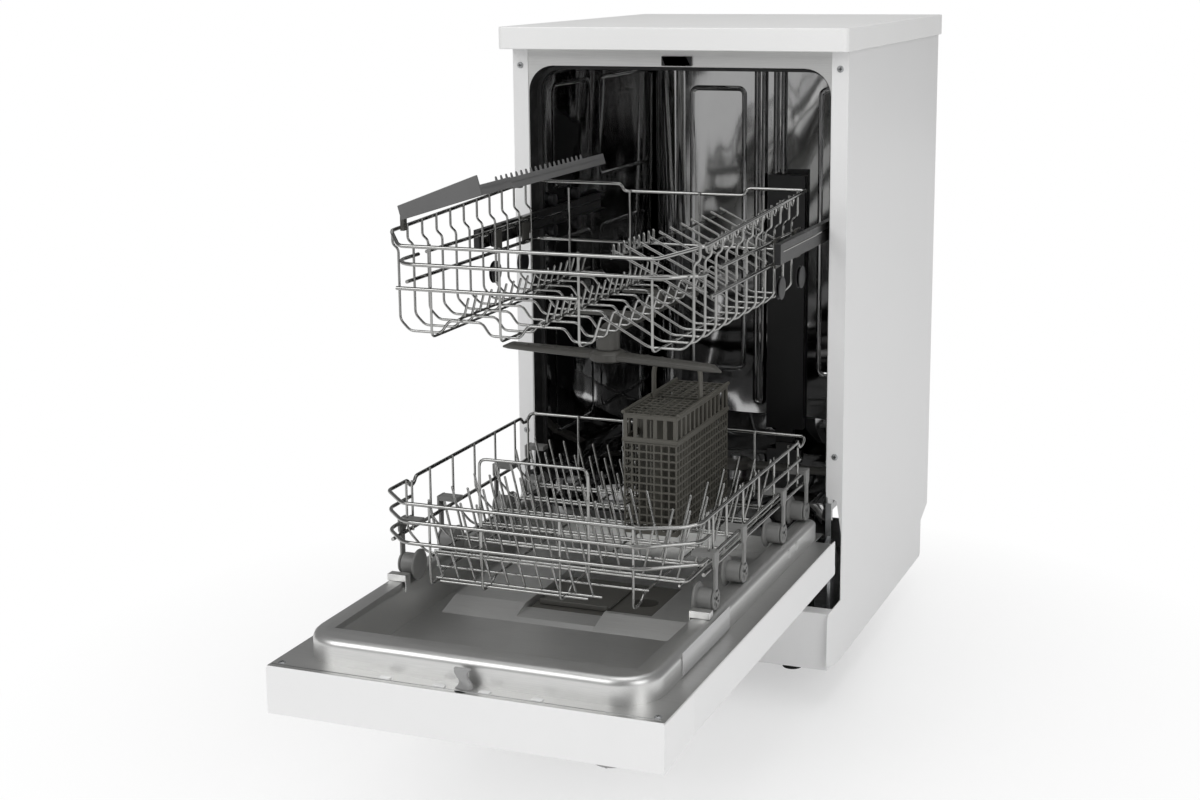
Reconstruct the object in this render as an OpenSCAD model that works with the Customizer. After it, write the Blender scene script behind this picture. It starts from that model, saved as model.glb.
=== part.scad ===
// Free-standing slimline dishwasher, shown as in the photograph: door open and both racks pulled out.
// All sizes are in millimetres. Cabinet coordinates: x to the right, y to the back with 0 at the
// front flange plane, z up with 0 at the floor. placed() moves them into the part's own frame.

/* [Cabinet] */
// Width over the two side panels
body_w = 446; // [420:1:600]
// Depth of the side panels behind the front flange plane
body_d = 510; // [480:1:620]
// Overall height from the floor to the top of the worktop
body_h = 845; // [800:1:880]
// Sheet thickness of the outer panels
sheet = 1; // [0.6:0.1:1.5]
// Width of the front flange of a side panel
flange_w = 20; // [14:1:24]
// Height of the side panels' lower edge above the floor
base_z = 41; // [30:1:60]
// Height of the toe that each side panel carries in front of the flange plane
toe_h = 122; // [110:1:123]
// Reach of the toe and of the kick plate in front of the flange plane
toe_reach = 58; // [50:1:70]
// Radius of a foot's pad
foot_r = 13; // [10:1:20]
// Radius of a foot's threaded stem
stem_r = 4; // [3:0.5:6]
// Distance of the feet from the middle of the machine
foot_x = 142; // [120:1:180]

/* [Worktop] */
// Width of the worktop
top_w = 460; // [440:1:610]
// Thickness of the worktop
top_t = 28; // [18:1:40]
// Overhang of the worktop in front of the flange plane
top_over = 33; // [20:1:45]
// Width of the border round the inlaid panel
border_w = 15; // [10:1:30]
// Width of the groove round the inlaid panel
groove_w = 2; // [1:0.5:4]

/* [Tub] */
// Inner width of the tub
tub_w = 392; // [370:1:400]
// Thickness of the tub's sheet
tub_t = 1; // [0.6:0.1:1.5]
// Height of the tub's floor
tub_floor = 198; // [196:1:204]
// Height of the ledges that the lower rack's wheels run on
ledge_z = 237; // [234:1:240]
// Distance between the worktop's underside and the tub's ceiling
tub_drop = 27; // [24:1:40]
// Distance of the tub's back wall from the cabinet's back
tub_back_gap = 26; // [20:1:60]
// Depth of the recess in front of the tub that holds the gasket
recess_d = 33; // [30:1:40]
// Step from the tub's wall out to the recess's wall
recess_step = 5; // [4:0.5:6]
// Width of the water duct on the back wall
duct_w = 58; // [40:1:80]
// Depth of the water duct
duct_d = 13; // [8:1:16]
// Height of the water duct's upper end
duct_top = 609; // [560:1:640]

/* [Hinge] */
// Distance of the hinge axis in front of the flange plane
hinge_out = 25.5; // [24:0.5:28]
// Height of the hinge axis
hinge_z = 186.5; // [184:0.5:190]
// Radius of the hinge pins
pin_r = 4; // [3:0.5:5]
// Running clearance round the hinge pins
pin_play = 0.06; // [0.03:0.01:0.1]

/* [Door] */
// Gap between the closed door and the flange plane
door_gap = 3; // [2.5:0.5:5]
// Gap between the closed door's upper end and the worktop
door_top_gap = 2; // [1.5:0.5:5]
// Gap between the door's side and the outer face of the side panel
door_side_gap = 1.5; // [1:0.5:4]
// Thickness of the door from its outer skin to its frame face
door_t = 45.5; // [42:0.5:48]
// Height of the liner's rim above the frame face
rim_h = 28; // [24:1:28]
// Width of the liner's rim
rim_w = 25; // [20:1:30]
// Length of the control fascia along the door
fascia_len = 89; // [80:1:110]
// Extra thickness of the fascia at its free end
fascia_drop = 7; // [2:1:12]
// Wall of the fascia
fascia_t = 2.5; // [2:0.25:4]
// Length of the apron below the hinge axis
apron_len = 56.5; // [40:0.5:58]
// Radius of the two push buttons
button_r = 7; // [5:0.5:9]
// Travel of the two push buttons
button_travel = 2; // [1:0.5:3]
// Radius of the programme knob
knob_r = 19; // [14:1:24]
// Width of the detergent dispenser
dispenser_w = 150; // [130:1:160]
// Length of the detergent dispenser
dispenser_l = 120; // [100:1:130]

/* [Lower rack] */
// Width between the outer wires of the lower rack
low_w = 372; // [350:1:380]
// Length of the lower rack
low_len = 435; // [400:1:440]
// Distance of the lower rack's rear end in front of the flange plane
low_rear = 45; // [40:1:60]
// Height of the lower rack's top rail
low_top = 345; // [335:1:360]
// Height of the lower rack's floor wires
low_floor = 265; // [262:1:272]
// Radius of the frame wires
rail_r = 2.2; // [1.8:0.1:3]
// Radius of the thinner wires
wire_r = 1.6; // [1.2:0.1:2]
// Pitch of the wires that cross the lower rack
cross_pitch = 60; // [50:1:80]
// Pitch of the tines in a row
tine_pitch = 20; // [18:1:30]
// Height of the tines above the floor wires
tine_h = 60; // [40:1:66]
// Lean of the tines at their tips
tine_lean = 14; // [0:1:20]
// Height of the arch that stands at the front of the lower rack
arch_h = 127; // [80:1:140]
// Radius of the rack wheels
wheel_r = 12.2; // [11:0.1:12.2]
// Radius of the wheels' inner flanges
wheel_flange_r = 18; // [15:0.5:19]
// Radius of the wheels' axles
axle_r = 3; // [2:0.5:4]
// Running clearance of a wheel on its axle
axle_play = 0.08; // [0.03:0.01:0.1]

/* [Cutlery basket] */
// Width of the cutlery basket
basket_w = 66; // [50:1:70]
// Length of the cutlery basket
basket_len = 188; // [150:1:200]
// Height of the cutlery basket
basket_h = 143; // [110:1:143]
// Wall of the cutlery basket
basket_t = 2; // [1.5:0.5:3]
// Height of the cutlery basket's handle above its top
handle_h = 46; // [30:1:48]

/* [Upper rack] */
// Width between the top rails of the upper rack
up_w = 366; // [350:1:370]
// Length of the upper rack
up_len = 400; // [370:1:410]
// Distance of the upper rack's rear end in front of the flange plane
up_rear = 40; // [35:1:60]
// Height of the upper rack's front rail
up_front = 624; // [620:1:640]
// Height of the upper rack's side rails at the front
up_side = 637; // [630:1:650]
// Rise of the side rails towards the rear
up_rise = 14; // [0:1:20]
// Height of the upper rack's floor wires
up_floor = 527; // [524:1:535]
// Pitch of the wires that cross the upper rack
up_pitch = 36; // [30:1:45]
// Height of the raised parts of the upper rack's floor
up_wave = 14; // [6:1:20]
// Height of the axis of the upper rack's rollers
roller_z = 594; // [590:1:598]
// Radius of the upper rack's rollers
roller_r = 10.7; // [8:0.1:10.7]
// Length of the upper runners
runner_len = 415; // [390:1:420]
// Width of the folding cup shelf
shelf_w = 104; // [70:1:110]
// Tilt of the cup shelf
shelf_tilt = 16; // [10:1:40]

/* [Spray arms] */
// Radius of the lower spray arm
low_arm_r = 165; // [120:1:168]
// Radius of the upper spray arm
up_arm_r = 150; // [110:1:160]
// Height of the upper spray arm's underside
up_arm_z = 467; // [466:0.5:470]
// Height of the lower spray arm's underside
low_arm_z = 212; // [211:0.5:216]

/* [Hidden] */
$fn = 48;
eps = 0.01;
clear = 0.3;
sides = 8;

// Places that follow from the sizes above
hw = body_w / 2;
top_z = body_h - top_t;
front_y = -hinge_out - (top_z - door_top_gap - hinge_z);
flange_y = -(front_y + body_d) / 2;
face_z = hinge_z + hinge_out - door_gap;
skin_z = face_z - door_t;
door_hw = hw - door_side_gap;
tub_hw = tub_w / 2;
tub_top = top_z - tub_drop;
tub_back = body_d - tub_back_gap;
collar_hw = tub_hw + recess_step;
collar_top = tub_top + recess_step;
rim_hw = collar_hw - 3.5;
rim_z = face_z + rim_h;
rim_front = -hinge_out - (collar_top - 4.5 - hinge_z) + 0.5;
rim_rear = -32;
well_hw = rim_hw - rim_w - 1;
ledge_front = recess_d;
sill_hw = well_hw - 8.5;
narrow_hw = rim_hw + 2;
hinge_x = collar_hw + 4;
arm_x = hinge_x + 5;
notch_y = -hinge_out - 16.5;
floor_z = hinge_z + 0.5;
fascia_y = front_y + fascia_len;
fascia_low = skin_z - fascia_drop;
duct_x = 8;
duct_y = tub_back - duct_d - 0.1;
arm_y = 258;
sump_y = 215;
filter_x = 20;
filter_y = 195;
filter_r = 30;
pivot_y = -hinge_out;
low_hw = low_w / 2;
low_front = -low_rear - low_len;
wheel_z = ledge_z + wheel_r + 0.3;
wheel_in = well_hw - 0.7;
flange_low = wheel_z - wheel_flange_r - 1;
low_rows = [for (i = [0 : floor((low_len - 105) / cross_pitch)]) low_front + 75 + i * cross_pitch];
wheel_y = [low_front + 76, low_front + 176, low_front + 332, -low_rear - 3];
up_hw = up_w / 2;
up_front_y = -up_rear - up_len;
up_low_hw = up_hw - 7;
roller_y = [-150, -66];
runner_front = -187;
runner_in = tub_hw - 9;
runner_t = 1;
runner_half = roller_r + 0.3 + runner_t;
hub_y = -235;
shelf_z = up_side + up_rise + 4.5;
shelf_pin = 2;
lid_rod = 1.8;
// Front corners of the upper rack's loops: how far each cuts in from the side and from the front
up_left = [19, 20];
up_right = [46, 20];
low_left = [20, 30];
low_right = [35, 30];
pipe_z = up_floor - 24;
dispenser_x = -60;
dispenser_y = rim_front + 290;
opening_r = 34;
basket_x = 28;
basket_y = -260;
basket_z = 410 - basket_h;
catch_z = tub_top + 8.5;

module placed() {
    translate([0, flange_y, 0]) children();
}

// A block between two corners
module block(x0, x1, y0, y1, z0, z1) {
    translate([x0, y0, z0]) cube([x1 - x0, y1 - y0, z1 - z0]);
}

// Round rods along the three axes
module rod_x(x0, x1, y, z, r) {
    translate([x0, y, z]) rotate([0, 90, 0]) cylinder(h = x1 - x0, r = r);
}

module rod_y(y0, y1, x, z, r) {
    translate([x, y0, z]) rotate([-90, 0, 0]) cylinder(h = y1 - y0, r = r);
}

module rod_z(z0, z1, x, y, r) {
    translate([x, y, z0]) cylinder(h = z1 - z0, r = r);
}

// A straight round wire from a to b
module wire(a, b, r) {
    d = b - a;
    len = norm(d);
    translate(a) rotate([0, acos(d[2] / len), atan2(d[1], d[0])]) cylinder(h = len, r = r);
}

function unit(v) = v / norm(v);

// The ring of a bent wire at point c: the wire's section along d, cut by the plane with normal n
function ring(c, d, n, ref, r) = let (a = unit(ref - (ref * d) * d), b = cross(d, a))
    [for (k = [0 : sides - 1]) let (p = c + r * (cos(k * 360 / sides) * a + sin(k * 360 / sides) * b))
        p + ((c - p) * n) / (d * n) * d];

// Faces between ring i and ring j of a bent wire
function tube_faces(i, j) = [for (k = [0 : sides - 1], t = [0, 1]) let (m = (k + 1) % sides)
    t == 0 ? [i * sides + k, j * sides + k, j * sides + m]
        : [i * sides + k, j * sides + m, i * sides + m]];

// A bent wire through a list of points, mitred at each bend; ref lies across its plane
module bent(points, r, ref) {
    last = len(points) - 1;
    d = [for (i = [0 : last - 1]) unit(points[i + 1] - points[i])];
    rings = [for (i = [0 : last]) let (before = d[max(i - 1, 0)], after = d[min(i, last - 1)])
        each ring(points[i], before, unit(before + after), ref, r)];
    polyhedron(rings, concat([[for (k = [0 : sides - 1]) k]],
        [for (i = [0 : last - 1]) each tube_faces(i, i + 1)],
        [[for (k = [sides - 1 : -1 : 0]) last * sides + k]]));
}

// A closed wire loop, mitred at each bend
module looped(points, r) {
    n = len(points);
    d = [for (i = [0 : n - 1]) unit(points[(i + 1) % n] - points[i])];
    rings = [for (i = [0 : n - 1]) let (before = d[(i + n - 1) % n])
        each ring(points[i], before, unit(before + d[i]), [0, 0, 1], r)];
    polyhedron(rings, [for (i = [0 : n - 1]) each tube_faces(i, (i + 1) % n)]);
}

// A profile in the y-z plane, drawn from x0 to x1
module along_x(x0, x1, profile) {
    translate([x0, 0, 0]) rotate([90, 0, 90]) linear_extrude(x1 - x0) polygon(profile);
}

// A profile in the x-z plane, drawn from y0 to y1
module along_y(y0, y1, profile) {
    translate([0, y1, 0]) rotate([90, 0, 0]) linear_extrude(y1 - y0) polygon(profile);
}

// Corner points of a rectangle with rounded front corners, in 6 steps a corner
function round_front(w, y0, y1, r) = concat(
    [[-w, y1]],
    [for (i = [0 : 6]) [-w + r - r * cos(i * 15), y0 + r - r * sin(i * 15)]],
    [for (i = [0 : 6]) [w - r + r * sin(i * 15), y0 + r - r * cos(i * 15)]],
    [[w, y1]]);

// Corner points of a rectangle with rounded rear corners
function round_rear(w, y0, y1, r) = concat(
    [[-w, y0]],
    [for (i = [0 : 6]) [-w + r - r * cos(i * 15), y1 - r + r * sin(i * 15)]],
    [for (i = [0 : 6]) [w - r + r * sin(i * 15), y1 - r + r * cos(i * 15)]],
    [[w, y0]]);

// Corner points of a doorway with rounded top corners, in the x-z plane
function arch(w, z0, z1, r) = round_rear(w, z0, z1, r);

// Corner points of a rectangle with all four corners rounded
function round_all(x0, x1, y0, y1, r) = concat(
    [for (i = [0 : 4]) [x0 + r - r * sin(i * 22.5), y0 + r - r * cos(i * 22.5)]],
    [for (i = [0 : 4]) [x0 + r - r * cos(i * 22.5), y1 - r + r * sin(i * 22.5)]],
    [for (i = [0 : 4]) [x1 - r + r * sin(i * 22.5), y1 - r + r * cos(i * 22.5)]],
    [for (i = [0 : 4]) [x1 - r + r * cos(i * 22.5), y0 + r - r * sin(i * 22.5)]]);

module both_sides() {
    children();
    mirror([1, 0, 0]) children();
}

// The cabinet and what is fixed in it

module worktop() {
    color("white") placed() difference() {
        translate([0, 0, top_z]) linear_extrude(top_t)
            polygon(round_all(-top_w / 2, top_w / 2, -top_over, body_d - 5, 8));
        difference() {
            block(-top_w / 2 + border_w, top_w / 2 - border_w, -top_over + 4 * border_w,
                body_d - 5 - 3 * border_w, body_h - 1, body_h + 1);
            block(-top_w / 2 + border_w + groove_w, top_w / 2 - border_w - groove_w,
                -top_over + 4 * border_w + groove_w, body_d - 5 - 3 * border_w - groove_w,
                body_h - 2, body_h + 2);
        }
    }
}

// One side panel, drawn for the right side
module side_panel() {
    difference() {
        union() {
            along_x(hw - sheet, hw, [[body_d, top_z], [0, top_z], [0, toe_h], [-toe_reach, toe_h],
                [-toe_reach - 5, toe_h - 6], [-toe_reach - 8, base_z + 15], [-41, base_z + 6],
                [-5, base_z], [body_d - 48, base_z], [body_d - 43, base_z + 4],
                [body_d - 43, base_z + 55], [body_d, base_z + 71]]);
            along_y(0, sheet, [[hw - sheet - flange_w, top_z],
                [hw - sheet - flange_w, hinge_z + 70], [hw - 7.5, hinge_z + 66],
                [hw - sheet / 2, hinge_z + 20], [hw - sheet / 2, top_z]]);
            block(hw - 16, hw - sheet / 2, body_d - sheet, body_d, base_z + 75, top_z);
            block(hw - 16, hw - sheet / 2, 2, body_d - 50, base_z, base_z + sheet);
        }
        for (z = [top_z - 22, hinge_z + 123]) rod_y(-1, 3, hw - 10.5, z, 2.2);
    }
}

module side_panel_right() {
    color("white") placed() side_panel();
}

module side_panel_left() {
    color("white") placed() mirror([1, 0, 0]) side_panel();
}

module rear_panel() {
    color("silver") placed() difference() {
        union() {
            block(-hw + sheet + clear, hw - sheet - clear, body_d - 2 * sheet, body_d - sheet,
                base_z + 75, top_z - 0.1);
            for (z = [250, 500])
                block(-150, 150, body_d - 2 * sheet - 3, body_d - 2 * sheet + eps, z, z + 160);
        }
        for (z = [250, 500]) block(-149, 149, body_d - 2 * sheet - 2, body_d, z + 1, z + 159);
        for (i = [0 : 7]) block(-120 + i * 32, -104 + i * 32, 0, body_d + 5, 740, 744);
    }
}

module base_tray() {
    color("dimgray") placed() difference() {
        block(-hw + sheet + clear, hw - sheet - clear, 6, body_d - 50, base_z + sheet, base_z + 48);
        block(-hw + sheet + 3, hw - sheet - 3, 9, body_d - 53, base_z + sheet + 3, base_z + 60);
        for (x = [-foot_x, foot_x], y = [62, body_d - 90]) rod_z(0, 90, x, y, stem_r + 0.2);
    }
}

module feet() {
    color("black") placed() for (x = [-foot_x, foot_x], y = [62, body_d - 90]) {
        rod_z(0, 14, x, y, foot_r);
        rod_z(13, base_z + 20, x, y, stem_r);
        translate([x, y, base_z - 7]) cylinder(h = 7.8, r = 9.5, $fn = 6);
    }
}

module kick_plate() {
    color("lightgray") placed() {
        difference() {
            block(-hw + sheet + clear, hw - sheet - clear, -toe_reach, -toe_reach + 22, base_z + 6,
                toe_h - 0.5);
            block(-hw + sheet + 2, hw - sheet - 2, -toe_reach + 1.5, -toe_reach + 30, base_z, toe_h - 2);
        }
        for (x = [-foot_x, foot_x]) block(x - 10, x + 10, -toe_reach + 1, 6, base_z + 20, base_z + 23);
    }
}

module tub() {
    color("silver") placed() {
        difference() {
            union() {
                translate([0, 0, ledge_z + 0.1]) linear_extrude(tub_top + tub_t - ledge_z - 0.1)
                    polygon(round_rear(tub_hw + tub_t, recess_d - tub_t, tub_back + tub_t, 40 + tub_t));
                along_y(1.2, recess_d, arch(collar_hw + tub_t, hinge_z + 5.5, collar_top + tub_t,
                    opening_r + tub_t));
                block(-hw + 8, hw - 8, 1.2, 2.2, hinge_z + 72, top_z - 0.2);
            }
            translate([0, 0, ledge_z]) linear_extrude(tub_top - ledge_z)
                polygon(round_rear(tub_hw, recess_d - 2, tub_back, 40));
            along_y(-1, recess_d - tub_t, arch(collar_hw, hinge_z, collar_top, opening_r));
            block(-sill_hw - 2, sill_hw + 2, -1, recess_d + 3, hinge_z, ledge_z + 3);
            block(-well_hw, well_hw, recess_d - 2, recess_d + 3, flange_low, ledge_z + 3);
            block(-tub_hw, tub_hw, recess_d - 2, recess_d + 3, ledge_z - tub_t, ledge_z + 3);
            block(-18.5, 22.5, 0, 31, catch_z - 2.6, catch_z + 10.3);
            both_sides() block(sill_hw + 1, collar_hw, recess_d - tub_t - 0.1, recess_d + 1, hinge_z,
                ledge_z + 0.1);
        }
        difference() {
            union() {
                block(-well_hw + 0.1, well_hw - 0.1, recess_d + 0.1, tub_back + tub_t,
                    tub_floor - tub_t, ledge_z - tub_t - 0.1);
                block(-sill_hw - tub_t, sill_hw + tub_t, 8, recess_d + 1, tub_floor - tub_t, face_z + 1);
            }
            block(-well_hw, well_hw, recess_d + 0.1 + tub_t, tub_back, tub_floor, ledge_z + 2);
            block(-well_hw, well_hw, recess_d, recess_d + 3, flange_low, ledge_z + 3);
            block(-sill_hw, sill_hw, 9, recess_d + 3, tub_floor, ledge_z + 3);
            rod_z(tub_floor - 48, tub_floor + 22, 0, sump_y, 75);
        }
        both_sides() {
            block(sill_hw + 2, well_hw - 0.1, recess_d - tub_t, recess_d, hinge_z + 5.6, flange_low);
            block(well_hw, collar_hw - 0.1, recess_d - tub_t, recess_d, hinge_z + 5.6, ledge_z - tub_t);
            block(well_hw, well_hw + tub_t, recess_d + 0.1, tub_back + tub_t, tub_floor - tub_t,
                ledge_z - tub_t - 0.1);
            intersection() {
                translate([0, 0, ledge_z - tub_t]) linear_extrude(tub_t)
                    polygon(round_rear(tub_hw + tub_t, recess_d + 0.1, tub_back + tub_t, 40 + tub_t));
                block(well_hw, tub_hw + 2, recess_d, body_d, ledge_z - 2, ledge_z + 1);
            }
        }
    }
}

module door_gasket() {
    color("black") placed() {
        difference() {
            along_y(1.5, recess_d - tub_t - 0.1, arch(collar_hw - 0.1, hinge_z + 6, collar_top - 0.1,
                opening_r - 0.1));
            along_y(0, recess_d - 7, arch(collar_hw - 0.9, hinge_z, collar_top - 0.9, opening_r - 0.9));
            along_y(0, recess_d + 1, arch(tub_hw - 0.7, hinge_z, tub_top - 1, opening_r - 5));
        }
        block(-sill_hw + 0.5, sill_hw - 0.5, -2, 7.9, face_z - 1, face_z + 5);
        block(-sill_hw + 0.5, sill_hw - 0.5, 4.5, 7.9, face_z - 10, face_z - 1 + eps);
    }
}

module door_catch() {
    color("black") placed() difference() {
        block(-18, 22, -2, 30, catch_z - 2.2, catch_z + 9.8);
        block(-12, 14, -3, 27, catch_z - 1, catch_z + 8.4);
    }
}

module water_duct() {
    color("dimgray") placed() {
        difference() {
            union() {
                block(duct_x - duct_w / 2, duct_x + duct_w / 2, duct_y, tub_back - 0.1, tub_floor + 21,
                    duct_top);
                block(duct_x - 14, duct_x + 14, duct_y, tub_back - 0.1, tub_floor + 0.1, tub_floor + 22);
            }
            block(duct_x - duct_w / 2 + 2, duct_x + duct_w / 2 - 2, duct_y + 2, tub_back + 1,
                tub_floor + 24, duct_top - 2);
            rod_y(duct_y - 2, duct_y + 5, 0, pipe_z, 6);
        }
    }
}

module sump() {
    color("dimgray") placed() {
        difference() {
            union() {
                rod_z(tub_floor - tub_t - 4, tub_floor - tub_t - 0.1, 0, sump_y, 85);
                rod_z(base_z + 79, tub_floor - tub_t - 3, 0, sump_y, 74);
            }
            rod_z(base_z + 82, tub_floor, 0, sump_y, 71);
        }
        for (x = [-50, 50]) block(x - 4, x + 4, 200, 230, base_z + 4.1, base_z + 80);
    }
}

module circulation_pump() {
    color("gray") placed() {
        rod_x(-150, -30, 345, base_z + 60, 38);
        rod_x(-165, -149, 345, base_z + 60, 20);
        block(-130, -115, 325, 365, base_z + 4.1, base_z + 40);
        block(-65, -50, 325, 365, base_z + 4.1, base_z + 40);
    }
}

module drain_pump() {
    color("gray") placed() {
        rod_y(120, 185, 130, base_z + 50, 26);
        rod_y(184, 200, 130, base_z + 50, 14);
        block(120, 140, 130, 175, base_z + 4.1, base_z + 30);
    }
}

module inlet_valve() {
    color("ghostwhite") placed() difference() {
        union() {
            block(-195, -150, body_d - 110, body_d - 54, base_z + 4.1, base_z + 60);
            rod_y(body_d - 55, body_d - 20, -172, base_z + 66, 13.2);
            block(-186, -158, body_d - 80, body_d - 54, base_z + 59, base_z + 78);
        }
        rod_y(body_d - 60, body_d, -172, base_z + 66, 9);
    }
}

module hinge_brackets() {
    color("tan") placed() both_sides() {
        block(hinge_x - 3, hinge_x + 4, -1.8, -0.2, hinge_z - 2, hinge_z + 62);
        difference() {
            union() {
                along_x(hinge_x, hinge_x + 4, [[-0.5, hinge_z + 20], [pivot_y - 3, hinge_z + 8.5],
                    [pivot_y - 8.5, hinge_z], [pivot_y - 3, hinge_z - 8.5], [-0.5, hinge_z - 8.5]]);
                along_x(hinge_x, hinge_x + 4, [[-1, hinge_z + 20], [-1, base_z + 48.1], [60, base_z + 48.1],
                    [60, hinge_z - 40], [20, hinge_z + 4.8], [1, hinge_z + 4.8], [1, hinge_z + 20]]);
            }
        }
        rod_x(hinge_x + 3, arm_x + 4, pivot_y, hinge_z, pin_r);
    }
}

module cabinet_screws() {
    color("silver") placed() both_sides() for (z = [top_z - 22, hinge_z + 123]) {
        rod_y(-1.6, 0, hw - 10.5, z, 4.2);
        rod_y(-0.5, 1.1, hw - 10.5, z, 2);
    }
}

module filter_plate() {
    color("silver") placed() difference() {
        union() {
            rod_z(tub_floor + 0.1, tub_floor + 1.6, 0, sump_y, 88);
            rod_z(tub_floor + 1, low_arm_z - 1, 0, arm_y, 14);
            rod_z(tub_floor + 1, low_arm_z + 18, 0, arm_y, 8);
        }
        rod_z(tub_floor - 1, tub_floor + 5, filter_x, filter_y, filter_r + clear);
    }
}

module filter_cylinder() {
    color("gray") placed() {
        difference() {
            union() {
                rod_z(tub_floor - 60, tub_floor + 2, filter_x, filter_y, filter_r);
                rod_z(tub_floor + 1.7, tub_floor + 4.5, filter_x, filter_y, filter_r + 3);
            }
            rod_z(tub_floor - 58, tub_floor + 6, filter_x, filter_y, filter_r - 3);
        }
        block(filter_x - 3, filter_x + 3, filter_y - filter_r + 2, filter_y + filter_r - 2,
            tub_floor + 1.7, tub_floor + 9);
    }
}

module salt_cap() {
    color("white") placed() {
        rod_z(tub_floor + 0.2, tub_floor + 7, -125, 110, 30);
        block(-152, -98, 106, 114, tub_floor + 6.5, tub_floor + 11);
    }
}

module lower_spray_arm() {
    color("gray") placed() difference() {
        union() {
            block(-low_arm_r, low_arm_r, arm_y - 14, arm_y + 14, low_arm_z, low_arm_z + 12);
            rod_z(low_arm_z - 0.5, low_arm_z + 16, 0, arm_y, 24);
        }
        rod_z(low_arm_z - 5, low_arm_z + 20, 0, arm_y, 8 + axle_play);
        for (i = [1 : 6], s = [-1, 1])
            rod_z(low_arm_z + 5, low_arm_z + 20, s * (30 + i * 20), arm_y + 5, 1.5);
    }
}

module rail_guides() {
    color("white") placed() both_sides() for (y = [52, 132]) {
        for (s = [-1, 1]) rod_x(runner_in + 1.5, tub_hw - 0.1, y, roller_z + s * (runner_half + 8.3), 8);
    }
}

// The door, drawn open

module door_outer_panel() {
    color("white") placed() {
        difference() {
            block(-door_hw, door_hw, fascia_y + 0.2, pivot_y + 0.5, skin_z, face_z - 1.4);
            block(-door_hw + sheet, door_hw - sheet, fascia_y - 1, pivot_y - 0.5, skin_z + sheet, face_z);
            block(-door_hw + 8, door_hw - 8, pivot_y - 2, pivot_y + 2, skin_z + sheet, face_z);
            block(-door_hw - 1, door_hw + 1, pivot_y - 0.6, pivot_y + 2, skin_z + 11, face_z);
        }
        difference() {
            block(-narrow_hw + 1, narrow_hw - 1, pivot_y, pivot_y + apron_len, skin_z, hinge_z - 3.5);
            block(-narrow_hw + 2, narrow_hw - 2, pivot_y - 1, pivot_y + apron_len - 1, skin_z + sheet,
                hinge_z);
        }
    }
}

module door_liner() {
    color("silver") placed() difference() {
        union() {
            difference() {
                union() {
                    block(-door_hw + 0.5, door_hw - 0.5, front_y + 2, notch_y, face_z - 1.2, face_z);
                    block(-narrow_hw, narrow_hw, notch_y - 1, -4, face_z - 1.2, face_z);
                    translate([0, 0, face_z - 1.2]) linear_extrude(rim_h + 1.2)
                        polygon(round_front(rim_hw, rim_front, rim_rear, 45));
                }
                translate([0, 0, face_z - 2]) linear_extrude(rim_h + 1)
                    polygon(round_front(rim_hw - 1, rim_front + 1, rim_rear - 1, 44));
            }
            along_x(-rim_hw + rim_w, rim_hw - rim_w, [[rim_front + 32, rim_z],
                [rim_front + 150, floor_z - 1],
                [notch_y + 1, floor_z - 1], [notch_y + 1, face_z], [rim_rear, face_z], [rim_rear, rim_z]]);
        }
        along_x(-rim_hw + rim_w + 1, rim_hw - rim_w - 1, [[rim_front + 33, rim_z + 1],
            [rim_front + 34, rim_z], [rim_front + 151, floor_z], [notch_y, floor_z],
            [notch_y, face_z + 0.01], [rim_rear + 2, face_z + 0.01], [rim_rear + 2, rim_z + 1]]);
        for (x = [-door_hw + 11.5, door_hw - 11.5])
            rod_z(face_z - 3, face_z + 1, x, front_y + 14, 2.2);
        block(dispenser_x, dispenser_x + dispenser_w, dispenser_y, dispenser_y + dispenser_l,
            floor_z - 3, floor_z + 1);
        for (x = [-87, -25, 25.5, 83])
            block(x - 6.4, x + 6.4, front_y + 8.6, front_y + 15.4, face_z - 3, face_z + 1);
    }
}

module control_fascia() {
    color("white") placed() difference() {
        union() {
            along_x(-door_hw, door_hw, [[front_y, fascia_low], [fascia_y, skin_z], [fascia_y, face_z - 1.4],
                [front_y + 2, face_z - 1.4], [front_y, face_z - 2.4]]);
            for (x = [-87, -25, 25.5, 83])
                block(x - 6, x + 6, front_y + 9, front_y + 15, face_z - 2, face_z + 1.5);
            block(-door_hw + 1, door_hw - 1, front_y, front_y + 1.8, face_z - 3, face_z);
        }
        difference() {
            along_x(-door_hw + fascia_t, door_hw - fascia_t, [[front_y + fascia_t, fascia_low + 2.8],
                [fascia_y + 1, skin_z + 2.8], [fascia_y + 1, face_z - 1.3 - fascia_t],
                [front_y + fascia_t, face_z - 1.3 - fascia_t]]);
            block(-67.5, 67.5, front_y + 17.5, front_y + 64.5, fascia_low - 5, face_z - 16.5);
            for (x = [-door_hw + 11.5, door_hw - 11.5]) rod_z(fascia_low, face_z, x, front_y + 14, 5);
        }
        block(-65, 65, front_y + 20, front_y + 62, fascia_low - 5, face_z - 19);
        for (x = [-150, -120])
            rod_z(fascia_low - 5, fascia_low + 15, x, front_y + 42, button_r + 0.3);
        rod_z(fascia_low - 5, fascia_low + 15, 150, front_y + 42, pin_r + pin_play);
        for (x = [-door_hw + 11.5, door_hw - 11.5])
            rod_z(face_z - 16, face_z + 1, x, front_y + 14, 2.1);
    }
}

module door_screws() {
    color("silver") placed() for (x = [-door_hw + 11.5, door_hw - 11.5]) {
        rod_z(face_z, face_z + 1.6, x, front_y + 14, 4.2);
        rod_z(face_z - 14, face_z + 0.1, x, front_y + 14, 2);
    }
}

module button_at(x) {
    z = fascia_low + fascia_drop * 42 / fascia_len;
    rod_z(z - 1.5, z + 7, x, front_y + 42, button_r);
    rod_z(z + 4.2, z + 6, x, front_y + 42, button_r + 2.5);
}

module power_button() {
    color("gray") placed() button_at(-150);
}

module start_button() {
    color("gray") placed() button_at(-120);
}

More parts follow.
